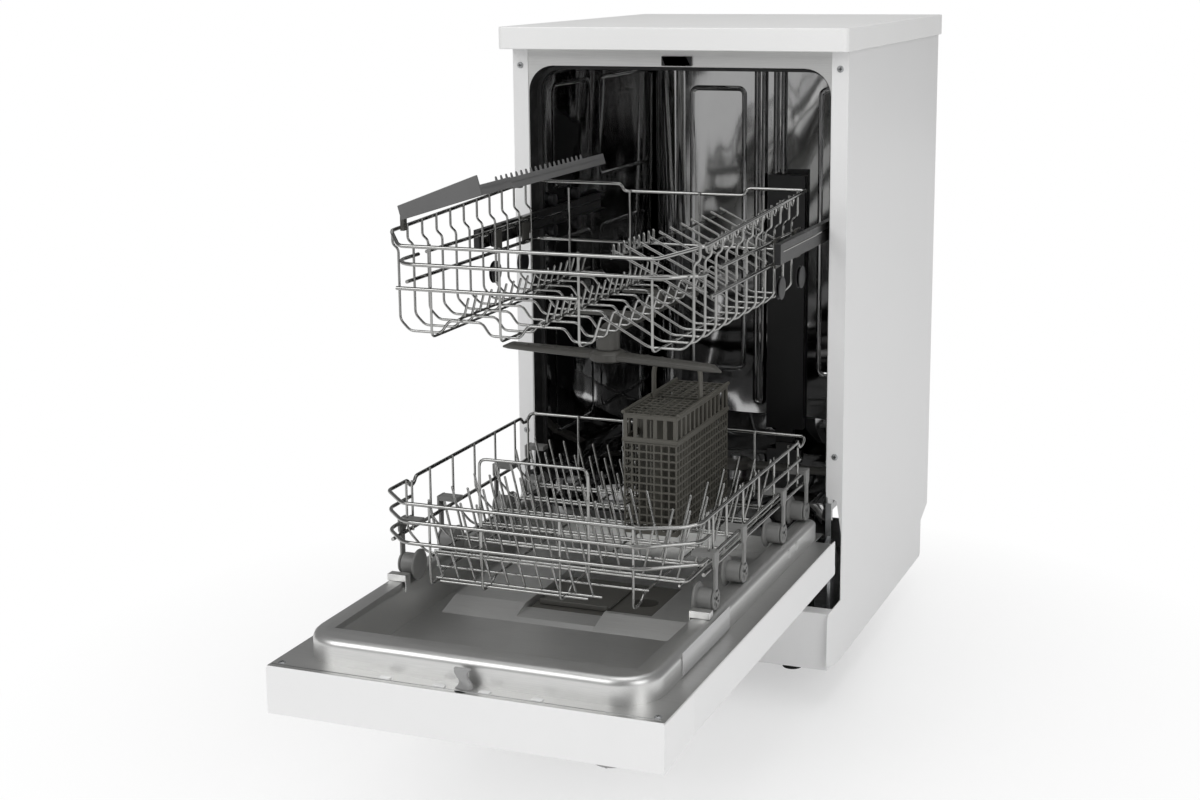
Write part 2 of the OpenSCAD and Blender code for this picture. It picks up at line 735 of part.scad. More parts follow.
module program_knob() {
    color("lightgray") placed() {
        z = fascia_low + fascia_drop * 42 / fascia_len - 2.2;
        rod_z(z - 14, z, 150, front_y + 42, knob_r);
        block(148.5, 151.5, front_y + 42 - knob_r + 3, front_y + 42 + knob_r - 3, z - 16, z - 13);
        rod_z(z - 1, z + 9, 150, front_y + 42, pin_r);
    }
}

module control_board() {
    color("green") placed() {
        block(-190, -80, front_y + 22, front_y + 62, fascia_low + 20, fascia_low + 21.6);
        block(-110, -90, front_y + 30, front_y + 50, fascia_low + 21.6, fascia_low + 34);
        for (x = [-180, -88], y = [28, 56]) rod_z(fascia_low + 21.6, face_z - 3.9, x, front_y + y, 2.5);
    }
}

module door_latch() {
    color("gray") placed() {
        block(-9, 10.5, pivot_y - (catch_z + 6.5 - hinge_z), pivot_y - (catch_z - hinge_z),
            face_z + 0.05, rim_z - 6);
    }
}

module hinge_arms() {
    color("gray") placed() both_sides() difference() {
        along_x(arm_x, arm_x + 3, [[pivot_y + 8, hinge_z - 6], [pivot_y + 8, hinge_z + 6],
            [pivot_y + 5, hinge_z + 9],
            [pivot_y - 190, hinge_z + 12], [pivot_y - 190, skin_z + sheet + 0.1],
            [pivot_y - 6, skin_z + sheet + 0.1]]);
        rod_x(arm_x - 1, arm_x + 5, pivot_y, hinge_z, pin_r + pin_play);
    }
}

module dispenser() {
    color("silver") placed() difference() {
        block(dispenser_x + clear, dispenser_x + dispenser_w - clear, dispenser_y + clear,
            dispenser_y + dispenser_l - clear, skin_z + 4, floor_z + 3);
        block(dispenser_x + 10, dispenser_x + dispenser_w - 60, dispenser_y + 15,
            dispenser_y + dispenser_l - 15, skin_z + 6, floor_z + 5);
        rod_z(floor_z - 8, floor_z + 5, dispenser_x + dispenser_w - 28, dispenser_y + dispenser_l / 2, 15);
    }
}

module dispenser_lid() {
    color("gray") placed() {
        a = dispenser_x + 7;
        b = dispenser_x + dispenser_w - 57;
        block(a, b, dispenser_y + 12, dispenser_y + dispenser_l - 12, floor_z + 3.3, floor_z + 6);
        block(a, b, dispenser_y + 12, dispenser_y + 16, floor_z + 5.9, floor_z + 10);
    }
}

module blank_plate() {
    color("white") placed() block(rim_hw + 0.05, rim_hw + 0.9, rim_front + 93, rim_front + 248,
        face_z + 2, rim_z - 1);
}

module rack_stops() {
    color("gray") placed() both_sides() {
        block(well_hw - 1.6, rim_hw - 4, wheel_y[0] - 32, wheel_y[0] - 20, rim_z + 0.1, rim_z + 8);
        block(well_hw - 1.6, well_hw - 0.1, wheel_y[0] - 32, wheel_y[0] - 20, rim_z - 12, rim_z + 7);
    }
}

// The lower rack

// Points of a rack loop with chamfered front corners
function rack_loop(w, y0, y1, z) = [[-w, y1, z], [-w, y0 + 40, z], [-w + 38, y0, z], [w - 54, y0, z],
    [w, y0 + 40, z], [w, y1, z]];

module lower_rack_rails() {
    color("silver") placed() {
        looped(rack_loop(low_hw, low_front, -low_rear, low_top), rail_r);
        for (z = [low_top - 21, low_top - 45])
            bent(rack_loop(low_hw, low_front, low_front + 92, z), rail_r, [0, 0, 1]);
        both_sides()
            wire([low_hw, low_front + 46, low_top - 59], [low_hw, -low_rear, low_top - 59], rail_r);
    }
}

module lower_rack_wires() {
    w = low_hw - rail_r - wire_r - 0.1;
    f = low_front + rail_r + wire_r + 0.1;
    z = low_floor - 2 * wire_r - 0.1;
    a = low_front + 36;
    r = rail_r - 0.5;
    b = a + wire_r + r + 0.1;
    t = low_floor + arch_h;
    color("silver") placed() {
        for (y = low_rows)
            bent([[-w, y, low_top + 3], [-w, y, low_floor + 25], [-w + 24, y, low_floor],
                [w - 24, y, low_floor], [w, y, low_floor + 25], [w, y, low_top + 3]],
                wire_r, [0, 1, 0]);
        for (x = [-117, -54, 38, 122])
            bent([[x, f, low_top + 3], [x, f, z - 8], [x, f + 22, z - 8], [x, f + 30, z],
                [x, -low_rear - 4, z], [x, -low_rear - 4, low_top + 3]], wire_r, [1, 0, 0]);
        wire([-125, a, low_floor], [128, a, low_floor], wire_r);
        bent([[-72, b, low_floor - 1], [-72, b, t - 8], [-64, b, t], [49, b, t], [57, b, t - 8],
            [57, b, low_floor - 1]], r, [0, 1, 0]);
    }
}

// A comb of tines from x0 to x1 that stands on its own floor wire and leans along x
module comb(x0, x1, y, z, h, lean) {
    wire([x0 - 8, y, z], [x1, y, z], wire_r);
    for (i = [0 : floor((x1 - x0) / tine_pitch)])
        wire([x0 + i * tine_pitch, y, z], [x0 + i * tine_pitch + lean, y, z + h], wire_r - 0.25);
}

module lower_rack_tines() {
    z = low_floor + 2 * wire_r + 0.1;
    x1 = basket_x + basket_w;
    color("silver") placed() {
        comb(-110, 80, low_front + 20, low_floor - 8, 30, -8);
        for (y = low_rows) {
            comb(-140, y < basket_y ? x1 : basket_x - 6, y, z, tine_h, -tine_lean);
            comb(x1 + 12, low_hw - 31, y, z, tine_h, tine_lean);
        }
    }
}

module wheel_carriers() {
    color("gray") placed() both_sides() for (y = wheel_y) {
        block(low_hw + rail_r + 0.1, low_hw + rail_r + 2.6, y - 9, y + 9, low_top - 63,
            low_top - 41);
        block(low_hw + rail_r + 0.1, low_hw + rail_r + 2.6, y - 6, y + 6, wheel_z - 6, low_top - 62);
        rod_x(wheel_in - 6.5, low_hw + rail_r + 1, y, wheel_z, axle_r);
    }
}

// One wheel, drawn on the right side
module wheel(i) {
    difference() {
        union() {
            rod_x(wheel_in + 0.1, wheel_in + 17, wheel_y[i], wheel_z, wheel_r);
            rod_x(wheel_in - 4, wheel_in + 0.2, wheel_y[i], wheel_z, wheel_flange_r);
        }
        rod_x(wheel_in - 8, wheel_in + 20, wheel_y[i], wheel_z, axle_r + axle_play);
    }
}

module wheel_right_1() {
    color("gray") placed() wheel(0);
}

module wheel_right_2() {
    color("gray") placed() wheel(1);
}

module wheel_right_3() {
    color("gray") placed() wheel(2);
}

module wheel_right_4() {
    color("gray") placed() wheel(3);
}

module wheel_left_1() {
    color("gray") placed() mirror([1, 0, 0]) wheel(0);
}

module wheel_left_2() {
    color("gray") placed() mirror([1, 0, 0]) wheel(1);
}

module wheel_left_3() {
    color("gray") placed() mirror([1, 0, 0]) wheel(2);
}

module wheel_left_4() {
    color("gray") placed() mirror([1, 0, 0]) wheel(3);
}

module cutlery_basket() {
    x1 = basket_x + basket_w;
    y1 = basket_y + basket_len;
    z1 = basket_z + basket_h;
    cell = (basket_len - basket_t) / 4;
    color("gray") placed() difference() {
        block(basket_x, x1, basket_y, y1, basket_z, z1);
        for (i = [0 : 3], j = [0, 1]) {
            a = basket_x + basket_t + j * (basket_w - basket_t) / 2;
            b = basket_y + i * cell;
            block(a, a + (basket_w - 3 * basket_t) / 2, b + basket_t, b + cell, basket_z + basket_t,
                z1 + 1);
        }
        for (i = [0 : 7], k = [0 : 2]) {
            a = basket_y + 8 + i * (basket_len - 16) / 8;
            b = basket_z + 12 + k * 38;
            block(basket_x - 1, x1 + 1, a, a + 14, b, b + 26);
        }
    }
}

module lid(s) {
    x1 = basket_x + basket_w;
    xm = basket_x + basket_w / 2;
    z = basket_z + basket_h + 0.3;
    a = s < 0 ? basket_x : xm + 0.5;
    b = s < 0 ? xm - 0.5 : x1;
    difference() {
        union() {
            block(a, b, basket_y + 1, basket_y + basket_len / 2 - 6, z, z + 1.6);
            block(a, b, basket_y + basket_len / 2 + 6, basket_y + basket_len - 1, z, z + 1.6);
            rod_y(basket_y + 1, basket_y + basket_len - 1, s < 0 ? a - 1 : b + 1, z + 1.8, lid_rod);
        }
        for (i = [0 : 2], j = [0 : 7])
            block(a + 3 + i * 9, a + 9 + i * 9, basket_y + 5 + j * 23, basket_y + 18 + j * 23,
                z - 1, z + 3);
    }
}

module cutlery_lid_left() {
    color("gray") placed() lid(-1);
}

module cutlery_lid_right() {
    color("gray") placed() lid(1);
}

module cutlery_handle() {
    ym = basket_y + basket_len / 2;
    z0 = basket_z + basket_h + 0.1;
    z1 = basket_z + basket_h + handle_h;
    x0 = basket_x - 1 + lid_rod + 0.5;
    x1 = basket_x + basket_w + 1 - lid_rod - 0.5;
    color("gray") placed() {
        for (s = [-4.8, 1.3]) {
            block(x0, x0 + 4, ym + s, ym + s + 3.5, z0 + 2.5, z1 - 3.5);
            block(x1 - 4, x1, ym + s, ym + s + 3.5, z0 + 2.5, z1 - 3.5);
        }
        block(x0, x0 + 4, ym - 4.8, ym + 4.8, z0, z0 + 2.6);
        block(x1 - 4, x1, ym - 4.8, ym + 4.8, z0, z0 + 2.6);
        along_y(ym - 4.8, ym + 4.8, [[x0, z1 - 8], [x0 + 4, z1 - 8], [x0 + 9, z1 - 4], [x1 - 9, z1 - 4],
            [x1 - 4, z1 - 8], [x1, z1 - 8], [x1, z1 - 6], [x1 - 7, z1], [x0 + 7, z1], [x0, z1 - 6]]);
    }
}

// The upper rack

function side_z(y) = up_side + up_rise * (y - up_front_y - 20) / (up_len - 20);

// How far a wire at y stands in from the sides to clear a loop's front corner, cut back by that much
function drawn_in(y, cut) = y > up_front_y + cut[1] ? 0
    : cut[0] * (1 - (y - up_front_y) / cut[1])
        + (rail_r + wire_r + 0.1) * (norm(cut) / cut[1] - 1) + clear;

module upper_rack_rails() {
    r = up_rear;
    f = up_front_y;
    color("silver") placed() {
        looped([[-up_hw, -r, side_z(-r)], [-up_hw, f + up_left[1], up_side],
            [-up_hw + up_left[0], f, up_front], [up_hw - up_right[0], f, up_front],
            [up_hw, f + up_right[1], up_side], [up_hw, -r, side_z(-r)]], rail_r);
        for (z = [up_front - 20, up_front - 47])
            looped([[-up_low_hw, -r, z], [-up_low_hw, f + low_left[1], z], [-up_low_hw + low_left[0], f, z],
                [up_low_hw - low_right[0], f, z], [up_low_hw, f + low_right[1], z],
                [up_low_hw, -r, z]], rail_r);
    }
}

module upper_rack_wires() {
    w = up_hw - rail_r - wire_r - 0.1;
    v = up_low_hw - rail_r - wire_r - 0.1;
    f = up_front_y + rail_r + wire_r + 0.1;
    z = up_floor - 2 * wire_r - 0.1;
    h = up_floor + up_wave;
    t = h + 2 * wire_r + 0.1;
    c = up_front - 2;
    side = 2 * wire_r + 0.1;
    color("silver") placed() {
        for (i = [0 : floor((up_len - 35) / up_pitch)]) {
            y = up_front_y + 15 + i * up_pitch;
            a = drawn_in(y, up_left) - w;
            b = drawn_in(y, low_left) - v;
            d = v - drawn_in(y, low_right);
            e = w - drawn_in(y, up_right);
            bent([[a, y, side_z(y) + 3], [a, y, up_front + 2], [b, y, up_front - 8],
                [b, y, up_floor + 13], [b + 12, y, up_floor], [-122, y, up_floor], [-112, y, h],
                [-72, y, h], [-62, y, up_floor], [-27, y, up_floor], [-17, y, h], [26, y, h],
                [36, y, up_floor], [58, y, up_floor], [68, y, h + 16], [122, y, up_floor],
                [d - 12, y, up_floor], [d, y, up_floor + 13], [d, y, up_front - 8],
                [e, y, up_front + 2], [e, y, side_z(y) + 3]], wire_r, [0, 1, 0]);
            wire([80, y + side, c + 6.2], [d + 1.5, y + side, c + 8.7 - (d + 1.5 - 75) / 2], wire_r);
        }
        for (x = [-128, -45, 47, 130])
            bent([[x, f, up_front + 3], [x, f, z], [x, -up_rear - 4, z],
                [x, -up_rear - 4, up_front - 17]], wire_r, [1, 0, 0]);
        wire([85, f - wire_r, c], [85, -up_rear - 10, c], wire_r);
        for (i = [0 : 8])
            wire([85, f + 6 + i * 15, c], [85, f + 6 + i * 15, c + 14], wire_r - 0.25);
        for (x = [-98, 0]) {
            wire([x, up_front_y + 10, t], [x, -up_rear - 10, t], wire_r);
            for (i = [0 : 17])
                wire([x, up_front_y + 24 + i * 20, t], [x + 8, up_front_y + 24 + i * 20, t + 40],
                    wire_r - 0.25);
        }
    }
}

module roller_carriers() {
    color("gray") placed() both_sides() for (y = roller_y) {
        block(up_low_hw + rail_r + 0.1, up_low_hw + rail_r + 2.6, y - 10, y + 10, up_front - 51,
            up_front - 16);
        rod_x(up_low_hw + rail_r + 2, runner_in + 6.5, y, roller_z, axle_r);
        rod_x(runner_in + 1.2, runner_in + 6.4, y, roller_z, roller_r);
    }
    color("gray") placed() for (y = [up_front_y + 41, -up_rear - 43])
        block(-up_hw + rail_r + 0.1, -up_hw + rail_r + 4.6, y - 4, y + 4, side_z(y) - 3,
            shelf_z - shelf_pin - clear);
}

module cup_shelf() {
    color("gray") placed() translate([-up_hw + 4, 0, shelf_z]) rotate([0, -shelf_tilt, 0]) {
        rod_y(up_front_y + 36, -up_rear - 6, 0, 0, shelf_pin);
        difference() {
            block(0, shelf_w - 22, up_front_y + 35, -up_rear - 5, 0, 3);
            for (i = [0 : 7], j = [0, 1])
                block(12 + j * 32, 36 + j * 32, up_front_y + 120 + i * 30, up_front_y + 138 + i * 30,
                    -1, 4);
        }
        block(shelf_w - 23, shelf_w, up_front_y + 35, up_front_y + 115, 0, 3);
        for (i = [0 : 14])
            block(shelf_w - 23, shelf_w - 10, up_front_y + 126 + i * 16, up_front_y + 129 + i * 16,
                0, 3);
        block(0, shelf_w - 22, up_front_y + 32, up_front_y + 35.5, -9, 3);
    }
}

module spray_pipe() {
    color("gray") placed() difference() {
        union() {
            rod_y(hub_y, -6, 0, pipe_z, 9);
            rod_z(up_arm_z + 14, pipe_z, 0, hub_y, 14);
            rod_z(up_arm_z - 2, pipe_z, 0, hub_y, 8);
            for (y = [hub_y + 20, -up_rear - 20]) {
                block(-48, 50, y - 6, y + 6, up_floor - 3 * wire_r - 5.2, up_floor - 3 * wire_r - 0.2);
                block(-5, 5, y - 6, y + 6, pipe_z, up_floor - 3 * wire_r - 4.2);
            }
        }
        rod_y(hub_y + 20, 0, 0, pipe_z, 6.5);
    }
}

module upper_spray_arm() {
    color("gray") placed() translate([0, hub_y, 0]) rotate([0, 0, -10]) difference() {
        union() {
            block(-up_arm_r, up_arm_r, -13, 13, up_arm_z, up_arm_z + 11);
            rod_z(up_arm_z, up_arm_z + 13.5, 0, 0, 22);
        }
        rod_z(up_arm_z - 5, up_arm_z + 20, 0, 0, 8 + axle_play);
        for (i = [1 : 5], s = [-1, 1])
            rod_z(up_arm_z + 5, up_arm_z + 20, s * (30 + i * 20), 5, 1.5);
    }
}

// One runner, a channel open to the middle, drawn on the right side
module runner() {
    difference() {
        block(runner_in, runner_in + 7.8, runner_front, runner_front + runner_len,
            roller_z - runner_half, roller_z + runner_half);
        block(runner_in - 1, runner_in + 6.8, runner_front - 1, runner_front + runner_len + 1,
            roller_z - runner_half + runner_t, roller_z + runner_half - runner_t);
    }
}

module upper_rail_right() {
    color("silver") placed() runner();
}

module upper_rail_left() {
    color("silver") placed() mirror([1, 0, 0]) runner();
}

worktop();
side_panel_left();
side_panel_right();
rear_panel();
base_tray();
feet();
kick_plate();
tub();
door_gasket();
door_catch();
water_duct();
sump();
circulation_pump();
drain_pump();
inlet_valve();
hinge_brackets();
cabinet_screws();
filter_plate();
rail_guides();
filter_cylinder();
salt_cap();
lower_spray_arm();
door_outer_panel();
door_liner();
control_fascia();
dispenser();
dispenser_lid();
door_latch();
control_board();
hinge_arms();
door_screws();
blank_plate();
power_button();
start_button();
program_knob();
rack_stops();
lower_rack_rails();
lower_rack_wires();
lower_rack_tines();
wheel_carriers();
cutlery_basket();
cutlery_lid_left();
cutlery_lid_right();
cutlery_handle();
wheel_left_1();
wheel_left_2();
wheel_left_3();
wheel_left_4();
wheel_right_1();
wheel_right_2();
wheel_right_3();
wheel_right_4();
upper_rack_rails();
upper_rack_wires();
roller_carriers();
cup_shelf();
upper_spray_arm();
upper_rail_left();
upper_rail_right();
spray_pipe();
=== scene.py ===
"""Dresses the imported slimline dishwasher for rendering: finishes, detailed pieces, stage and camera."""

import math

import bmesh
import bpy
from mathutils import Matrix, Vector


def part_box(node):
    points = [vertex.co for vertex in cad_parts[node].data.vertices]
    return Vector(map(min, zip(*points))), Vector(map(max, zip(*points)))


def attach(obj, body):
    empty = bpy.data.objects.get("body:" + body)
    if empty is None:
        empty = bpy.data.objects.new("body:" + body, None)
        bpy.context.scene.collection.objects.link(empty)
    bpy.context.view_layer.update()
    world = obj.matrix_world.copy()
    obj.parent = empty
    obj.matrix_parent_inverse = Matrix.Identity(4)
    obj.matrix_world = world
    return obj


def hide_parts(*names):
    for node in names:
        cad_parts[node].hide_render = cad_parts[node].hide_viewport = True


bl_info = {
    "name": "Slimline dishwasher",
    "version": (1, 0, 0),
    "blender": (4, 5, 0),
    "location": "3D View > Sidebar > Dishwasher",
    "description": "Builds the open dishwasher's detailed pieces on its CAD frame",
    "category": "Object",
}

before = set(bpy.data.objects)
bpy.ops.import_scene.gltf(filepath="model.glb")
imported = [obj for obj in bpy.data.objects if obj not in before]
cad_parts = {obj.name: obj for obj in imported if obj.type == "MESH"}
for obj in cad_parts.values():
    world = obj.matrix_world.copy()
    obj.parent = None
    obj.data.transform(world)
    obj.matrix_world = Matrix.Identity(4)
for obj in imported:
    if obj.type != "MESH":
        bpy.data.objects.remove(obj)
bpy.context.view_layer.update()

# The cabinet's own y is 0 at the flanges' front, which is 66 mm behind the side panels' foremost edge
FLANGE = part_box("side_panel_right")[0].y * 1000 + 66
# Segments of each arc of a bent wire
WIRE_STEPS = 4
X, Y, Z = Vector((1, 0, 0)), Vector((0, 1, 0)), Vector((0, 0, 1))


def at(x, y, z):
    """A point of the cabinet's own millimetres, as metres in the shared frame."""
    return Vector((x, y + FLANGE, z)) * 0.001


# Shader expressions


class Value:
    """A socket, or a number, that adds Math nodes as it is used in an expression."""

    def __init__(self, finish, source):
        self.finish = finish
        self.source = source

    def math(self, operation, *others):
        parts = [self] + list(others)
        return self.finish.node("ShaderNodeMath", {"operation": operation}, dict(enumerate(parts)))

    def __add__(self, other):
        return self.math("ADD", other)

    def __sub__(self, other):
        return self.math("SUBTRACT", other)

    def __mul__(self, other):
        return self.math("MULTIPLY", other)

    def __rsub__(self, other):
        return Value(self.finish, other).math("SUBTRACT", self)

    __radd__ = __add__
    __rmul__ = __mul__


class Finish:
    """One material, or the world: its node tree and the calls that fill it."""

    def __init__(self, name, owner=None):
        self.material = owner or bpy.data.materials.new(name)
        self.material.use_nodes = True
        self.tree = self.material.node_tree
        self.tree.nodes.clear()

    def node(self, kind, settings=None, inputs=None, output=0):
        """Adds a node, makes its settings, fills its sockets and returns one output."""
        made = self.tree.nodes.new(kind)
        for key, setting in (settings or {}).items():
            setattr(made, key, setting)
        for key, value in (inputs or {}).items():
            socket = made.inputs[key]
            while isinstance(value, Value) and isinstance(value.source, (int, float)):
                value = value.source
            if isinstance(value, Value):
                self.tree.links.new(value.source, socket)
            elif isinstance(value, (int, float)) or len(value) == len(socket.default_value):
                socket.default_value = value
            else:
                socket.default_value = (*value, 1)
        return Value(self, made.outputs[output]) if made.outputs else None

    def place(self, stretch=(1, 1, 1)):
        """The point on the piece, stretched along its axes."""
        coordinates = self.node("ShaderNodeTexCoord", output="Object")
        return self.node("ShaderNodeVectorMath", {"operation": "MULTIPLY"}, {0: coordinates, 1: stretch})

    def noise(self, scale, stretch=(1, 1, 1), detail=3, roughness=0.5):
        """Noise from 0 to 1 whose grain is 1/scale metres."""
        return self.node(
            "ShaderNodeTexNoise",
            {"noise_dimensions": "3D"},
            {"Vector": self.place(stretch), "Scale": scale, "Detail": detail, "Roughness": roughness},
        )

    def mix(self, factor, a, b):
        """Colour a where factor is 0, b where it is 1."""
        return self.node(
            "ShaderNodeMix",
            {"data_type": "RGBA", "clamp_factor": True},
            {0: factor, 6: a, 7: b},
            output=2,
        )

    def ramp(self, value, low, high, dark=0.0, light=1.0):
        """Value taken from low..high to dark..light, without going past the ends."""
        return self.node(
            "ShaderNodeMapRange",
            {"clamp": True},
            {"Value": value, "From Min": low, "From Max": high, "To Min": dark, "To Max": light},
        )

    def bump(self, height, distance, strength=1.0, under=None):
        """A bump of the height, which is 0 to 1 over distance metres."""
        inputs = {"Strength": strength, "Distance": distance, "Height": height}
        if under is not None:
            inputs["Normal"] = under
        return self.node("ShaderNodeBump", {}, inputs)

    def surface(self, **sockets):
        """Ends the material in a Principled shader with those sockets."""
        names = {key.replace("_", " "): value for key, value in sockets.items()}
        shader = self.node("ShaderNodeBsdfPrincipled", {}, names)
        self.node("ShaderNodeOutputMaterial", {}, {"Surface": shader})
        return self.material


# Finishes


def painted(name, colour):
    """Powder-coated steel: a faint orange peel and a few dull patches."""
    finish = Finish(name)
    peel = finish.noise(420, detail=2)
    patches = finish.noise(7, detail=3)
    tone = finish.mix(finish.ramp(patches, 0.35, 0.7), [c * 0.994 for c in colour], colour)
    return finish.surface(
        Base_Color=tone,
        Roughness=patches * 0.03 + 0.28,
        IOR=1.5,
        Normal=finish.bump(peel, 0.00004),
    )


def laminate(name, colour):
    """Melamine worktop: a fine pearl grain, duller than paint."""
    finish = Finish(name)
    pearl = finish.noise(900, detail=4, roughness=0.7)
    cloud = finish.noise(12, detail=2)
    tone = finish.mix(finish.ramp(pearl, 0.4, 0.62), [c * 0.975 for c in colour], colour)
    return finish.surface(
        Base_Color=tone,
        Roughness=cloud * 0.12 + 0.4,
        Normal=finish.bump(pearl, 0.00003),
    )


def mirror_steel(name, colour):
    """Bright rolled stainless sheet, a little wavy, with fine rolling lines."""
    finish = Finish(name)
    waves = finish.noise(9, (1, 1, 0.35), detail=2)
    lines = finish.noise(500, (1, 1, 0.03), detail=2)
    film = finish.noise(30, detail=4)
    tone = finish.mix(film, [c * 0.86 for c in colour], colour)
    return finish.surface(
        Base_Color=tone,
        Metallic=1.0,
        Roughness=lines * 0.04 + film * 0.04 + 0.015,
        Normal=finish.bump(lines, 0.000004, under=finish.bump(waves, 0.0016)),
    )


def satin_steel(name, colour, roughness=0.4):
    """Stainless sheet of the door liner, satin with fine lines across the door."""
    finish = Finish(name)
    lines = finish.noise(1400, (0.02, 1, 1), detail=3, roughness=0.6)
    film = finish.noise(22, detail=4)
    tone = finish.mix(finish.ramp(lines, 0.35, 0.65), [c * 0.93 for c in colour], colour)
    return finish.surface(
        Base_Color=tone,
        Metallic=1.0,
        Roughness=lines * 0.08 + film * 0.06 + (roughness - 0.07),
        Normal=finish.bump(lines, 0.000006),
    )


def brushed_steel(name, colour):
    """Brushed stainless sheet with lines along one axis."""
    finish = Finish(name)
    lines = finish.noise(1400, (0.02, 1, 1), detail=3, roughness=0.6)
    waves = finish.noise(9, detail=2)
    film = finish.noise(22, detail=4)
    tone = finish.mix(finish.ramp(lines, 0.35, 0.65), [c * 0.86 for c in colour], colour)
    return finish.surface(
        Base_Color=tone,
        Metallic=1.0,
        Roughness=lines * 0.14 + film * 0.08 + 0.2,
        Normal=finish.bump(lines, 0.000012, under=finish.bump(waves, 0.0006)),
    )


def zinc_sheet(name, colour):
    """Galvanised sheet with its spangle."""
    finish = Finish(name)
    spangle = finish.node(
        "ShaderNodeTexVoronoi", {"feature": "F1"}, {"Vector": finish.place(), "Scale": 110.0}, output="Color"
    )
    grain = finish.noise(260, detail=3)
    tone = finish.mix(
        finish.node("ShaderNodeSeparateColor", {}, {"Color": spangle}), [c * 0.78 for c in colour], colour
    )
    return finish.surface(
        Base_Color=tone, Metallic=0.9, Roughness=grain * 0.2 + 0.3, Normal=finish.bump(grain, 0.00003)
    )


def bright_wire(name, colour):
    """Drawn and polished stainless wire."""
    finish = Finish(name)
    drawn = finish.noise(700, detail=3)
    film = finish.noise(40, detail=3)
    tone = finish.mix(film, [c * 0.88 for c in colour], colour)
    return finish.surface(
        Base_Color=tone,
        Metallic=1.0,
        Roughness=drawn * 0.08 + film * 0.08 + 0.08,
        Normal=finish.bump(drawn, 0.00002),
    )


def moulded(name, colour, roughness=0.42, clouds=0.1):
    """Moulded plastic: a fine spark texture and flow clouds."""
    finish = Finish(name)
    spark = finish.noise(1500, detail=2)
    cloud = finish.noise(25, detail=3)
    tone = finish.mix(finish.ramp(cloud, 0.3, 0.7), [c * (1 - clouds) for c in colour], colour)
    return finish.surface(
        Base_Color=tone,
        Roughness=cloud * clouds + spark * 0.08 + (roughness - 0.1),
        Normal=finish.bump(spark, 0.00005),
    )


def rubber(name, colour):
    """Extruded rubber with a dull skin and faint dust."""
    finish = Finish(name)
    skin = finish.noise(800, detail=3)
    dust = finish.noise(60, detail=4)
    tone = finish.mix(finish.ramp(dust, 0.5, 0.8), colour, [c + 0.03 for c in colour])
    return finish.surface(Base_Color=tone, Roughness=skin * 0.15 + 0.5, Normal=finish.bump(skin, 0.00006))


def circuit_board(name, colour):
    """Green solder mask with copper-coloured tracks under it."""
    finish = Finish(name)
    tracks = finish.node(
        "ShaderNodeTexBrick",
        {},
        {"Vector": finish.place(), "Scale": 160.0, "Mortar Size": 0.06},
        output="Fac",
    )
    tone = finish.mix(tracks, colour, [c * 1.8 for c in colour])
    return finish.surface(Base_Color=tone, Roughness=finish.noise(200) * 0.2 + 0.25)


# What a user can change


def colour_of(name, description, default):
    return bpy.props.FloatVectorProperty(
        name=name, description=description, default=default, subtype="COLOR", size=3, min=0, max=1
    )


class DishwasherColours(bpy.types.PropertyGroup):
    enamel: colour_of("Enamel", "Painted panels and door", (0.84, 0.84, 0.84))
    laminate: colour_of("Laminate", "Worktop", (0.86, 0.86, 0.855))
    steel: colour_of("Steel", "Plain stainless parts", (0.60, 0.60, 0.60))
    # The tub's walls take a darker copy of the liner's stainless steel: painted shade for the inside of the
    # tub.
    tub: colour_of("Tub", "Mirror-like walls of the tub", (0.36, 0.36, 0.36))
    liner: colour_of("Liner", "Satin door liner", (0.82, 0.82, 0.81))
    wire: colour_of("Wire", "Rack wires", (0.43, 0.43, 0.42))
    zinc: colour_of("Zinc", "Galvanised sheet and hinge parts", (0.52, 0.53, 0.54))
    grey: colour_of("Grey plastic", "Wheels and carriers", (0.20, 0.20, 0.195))
    dark_grey: colour_of("Dark grey plastic", "Spray arms and pipe", (0.075, 0.073, 0.066))
    basket: colour_of("Basket grey", "Cutlery basket, lids and handle", (0.105, 0.10, 0.085))
    light_grey: colour_of("Light grey plastic", "Latch and small fittings", (0.36, 0.36, 0.36))
    shelf: colour_of("Shelf grey", "Folding cup shelf", (0.14, 0.14, 0.14))
    runner: colour_of("Runner", "Coated runners of the upper rack", (0.02, 0.02, 0.02))
    plate: colour_of("Plate", "Bare plate on the liner's side", (0.52, 0.52, 0.52))
    black: colour_of("Black plastic", "Catch, tray and hidden mouldings", (0.015, 0.015, 0.016))
    rubber: colour_of("Rubber", "Door seal and feet", (0.012, 0.012, 0.012))
    white: colour_of("White plastic", "Fascia and salt cap", (0.87, 0.87, 0.87))
    board: colour_of("Board", "Control board", (0.02, 0.16, 0.06))


def size_of(name, description, default, low, high):
    return bpy.props.FloatProperty(
        name=name, description=description, default=default, min=low, max=high, unit="LENGTH"
    )


class DishwasherSizes(bpy.types.PropertyGroup):
    rail_d: size_of("Rail", "Thickness of the racks' rails", 0.0044, 0.002, 0.008)
    wire_d: size_of("Wire", "Thickness of the racks' thin wires", 0.003, 0.0015, 0.006)
    edge: size_of("Edge", "Rounding of folded and moulded edges", 0.0006, 0, 0.003)


def colours():
    return bpy.context.scene.dishwasher_colours


def sizes():
    return bpy.context.scene.dishwasher_sizes


finishes = {}


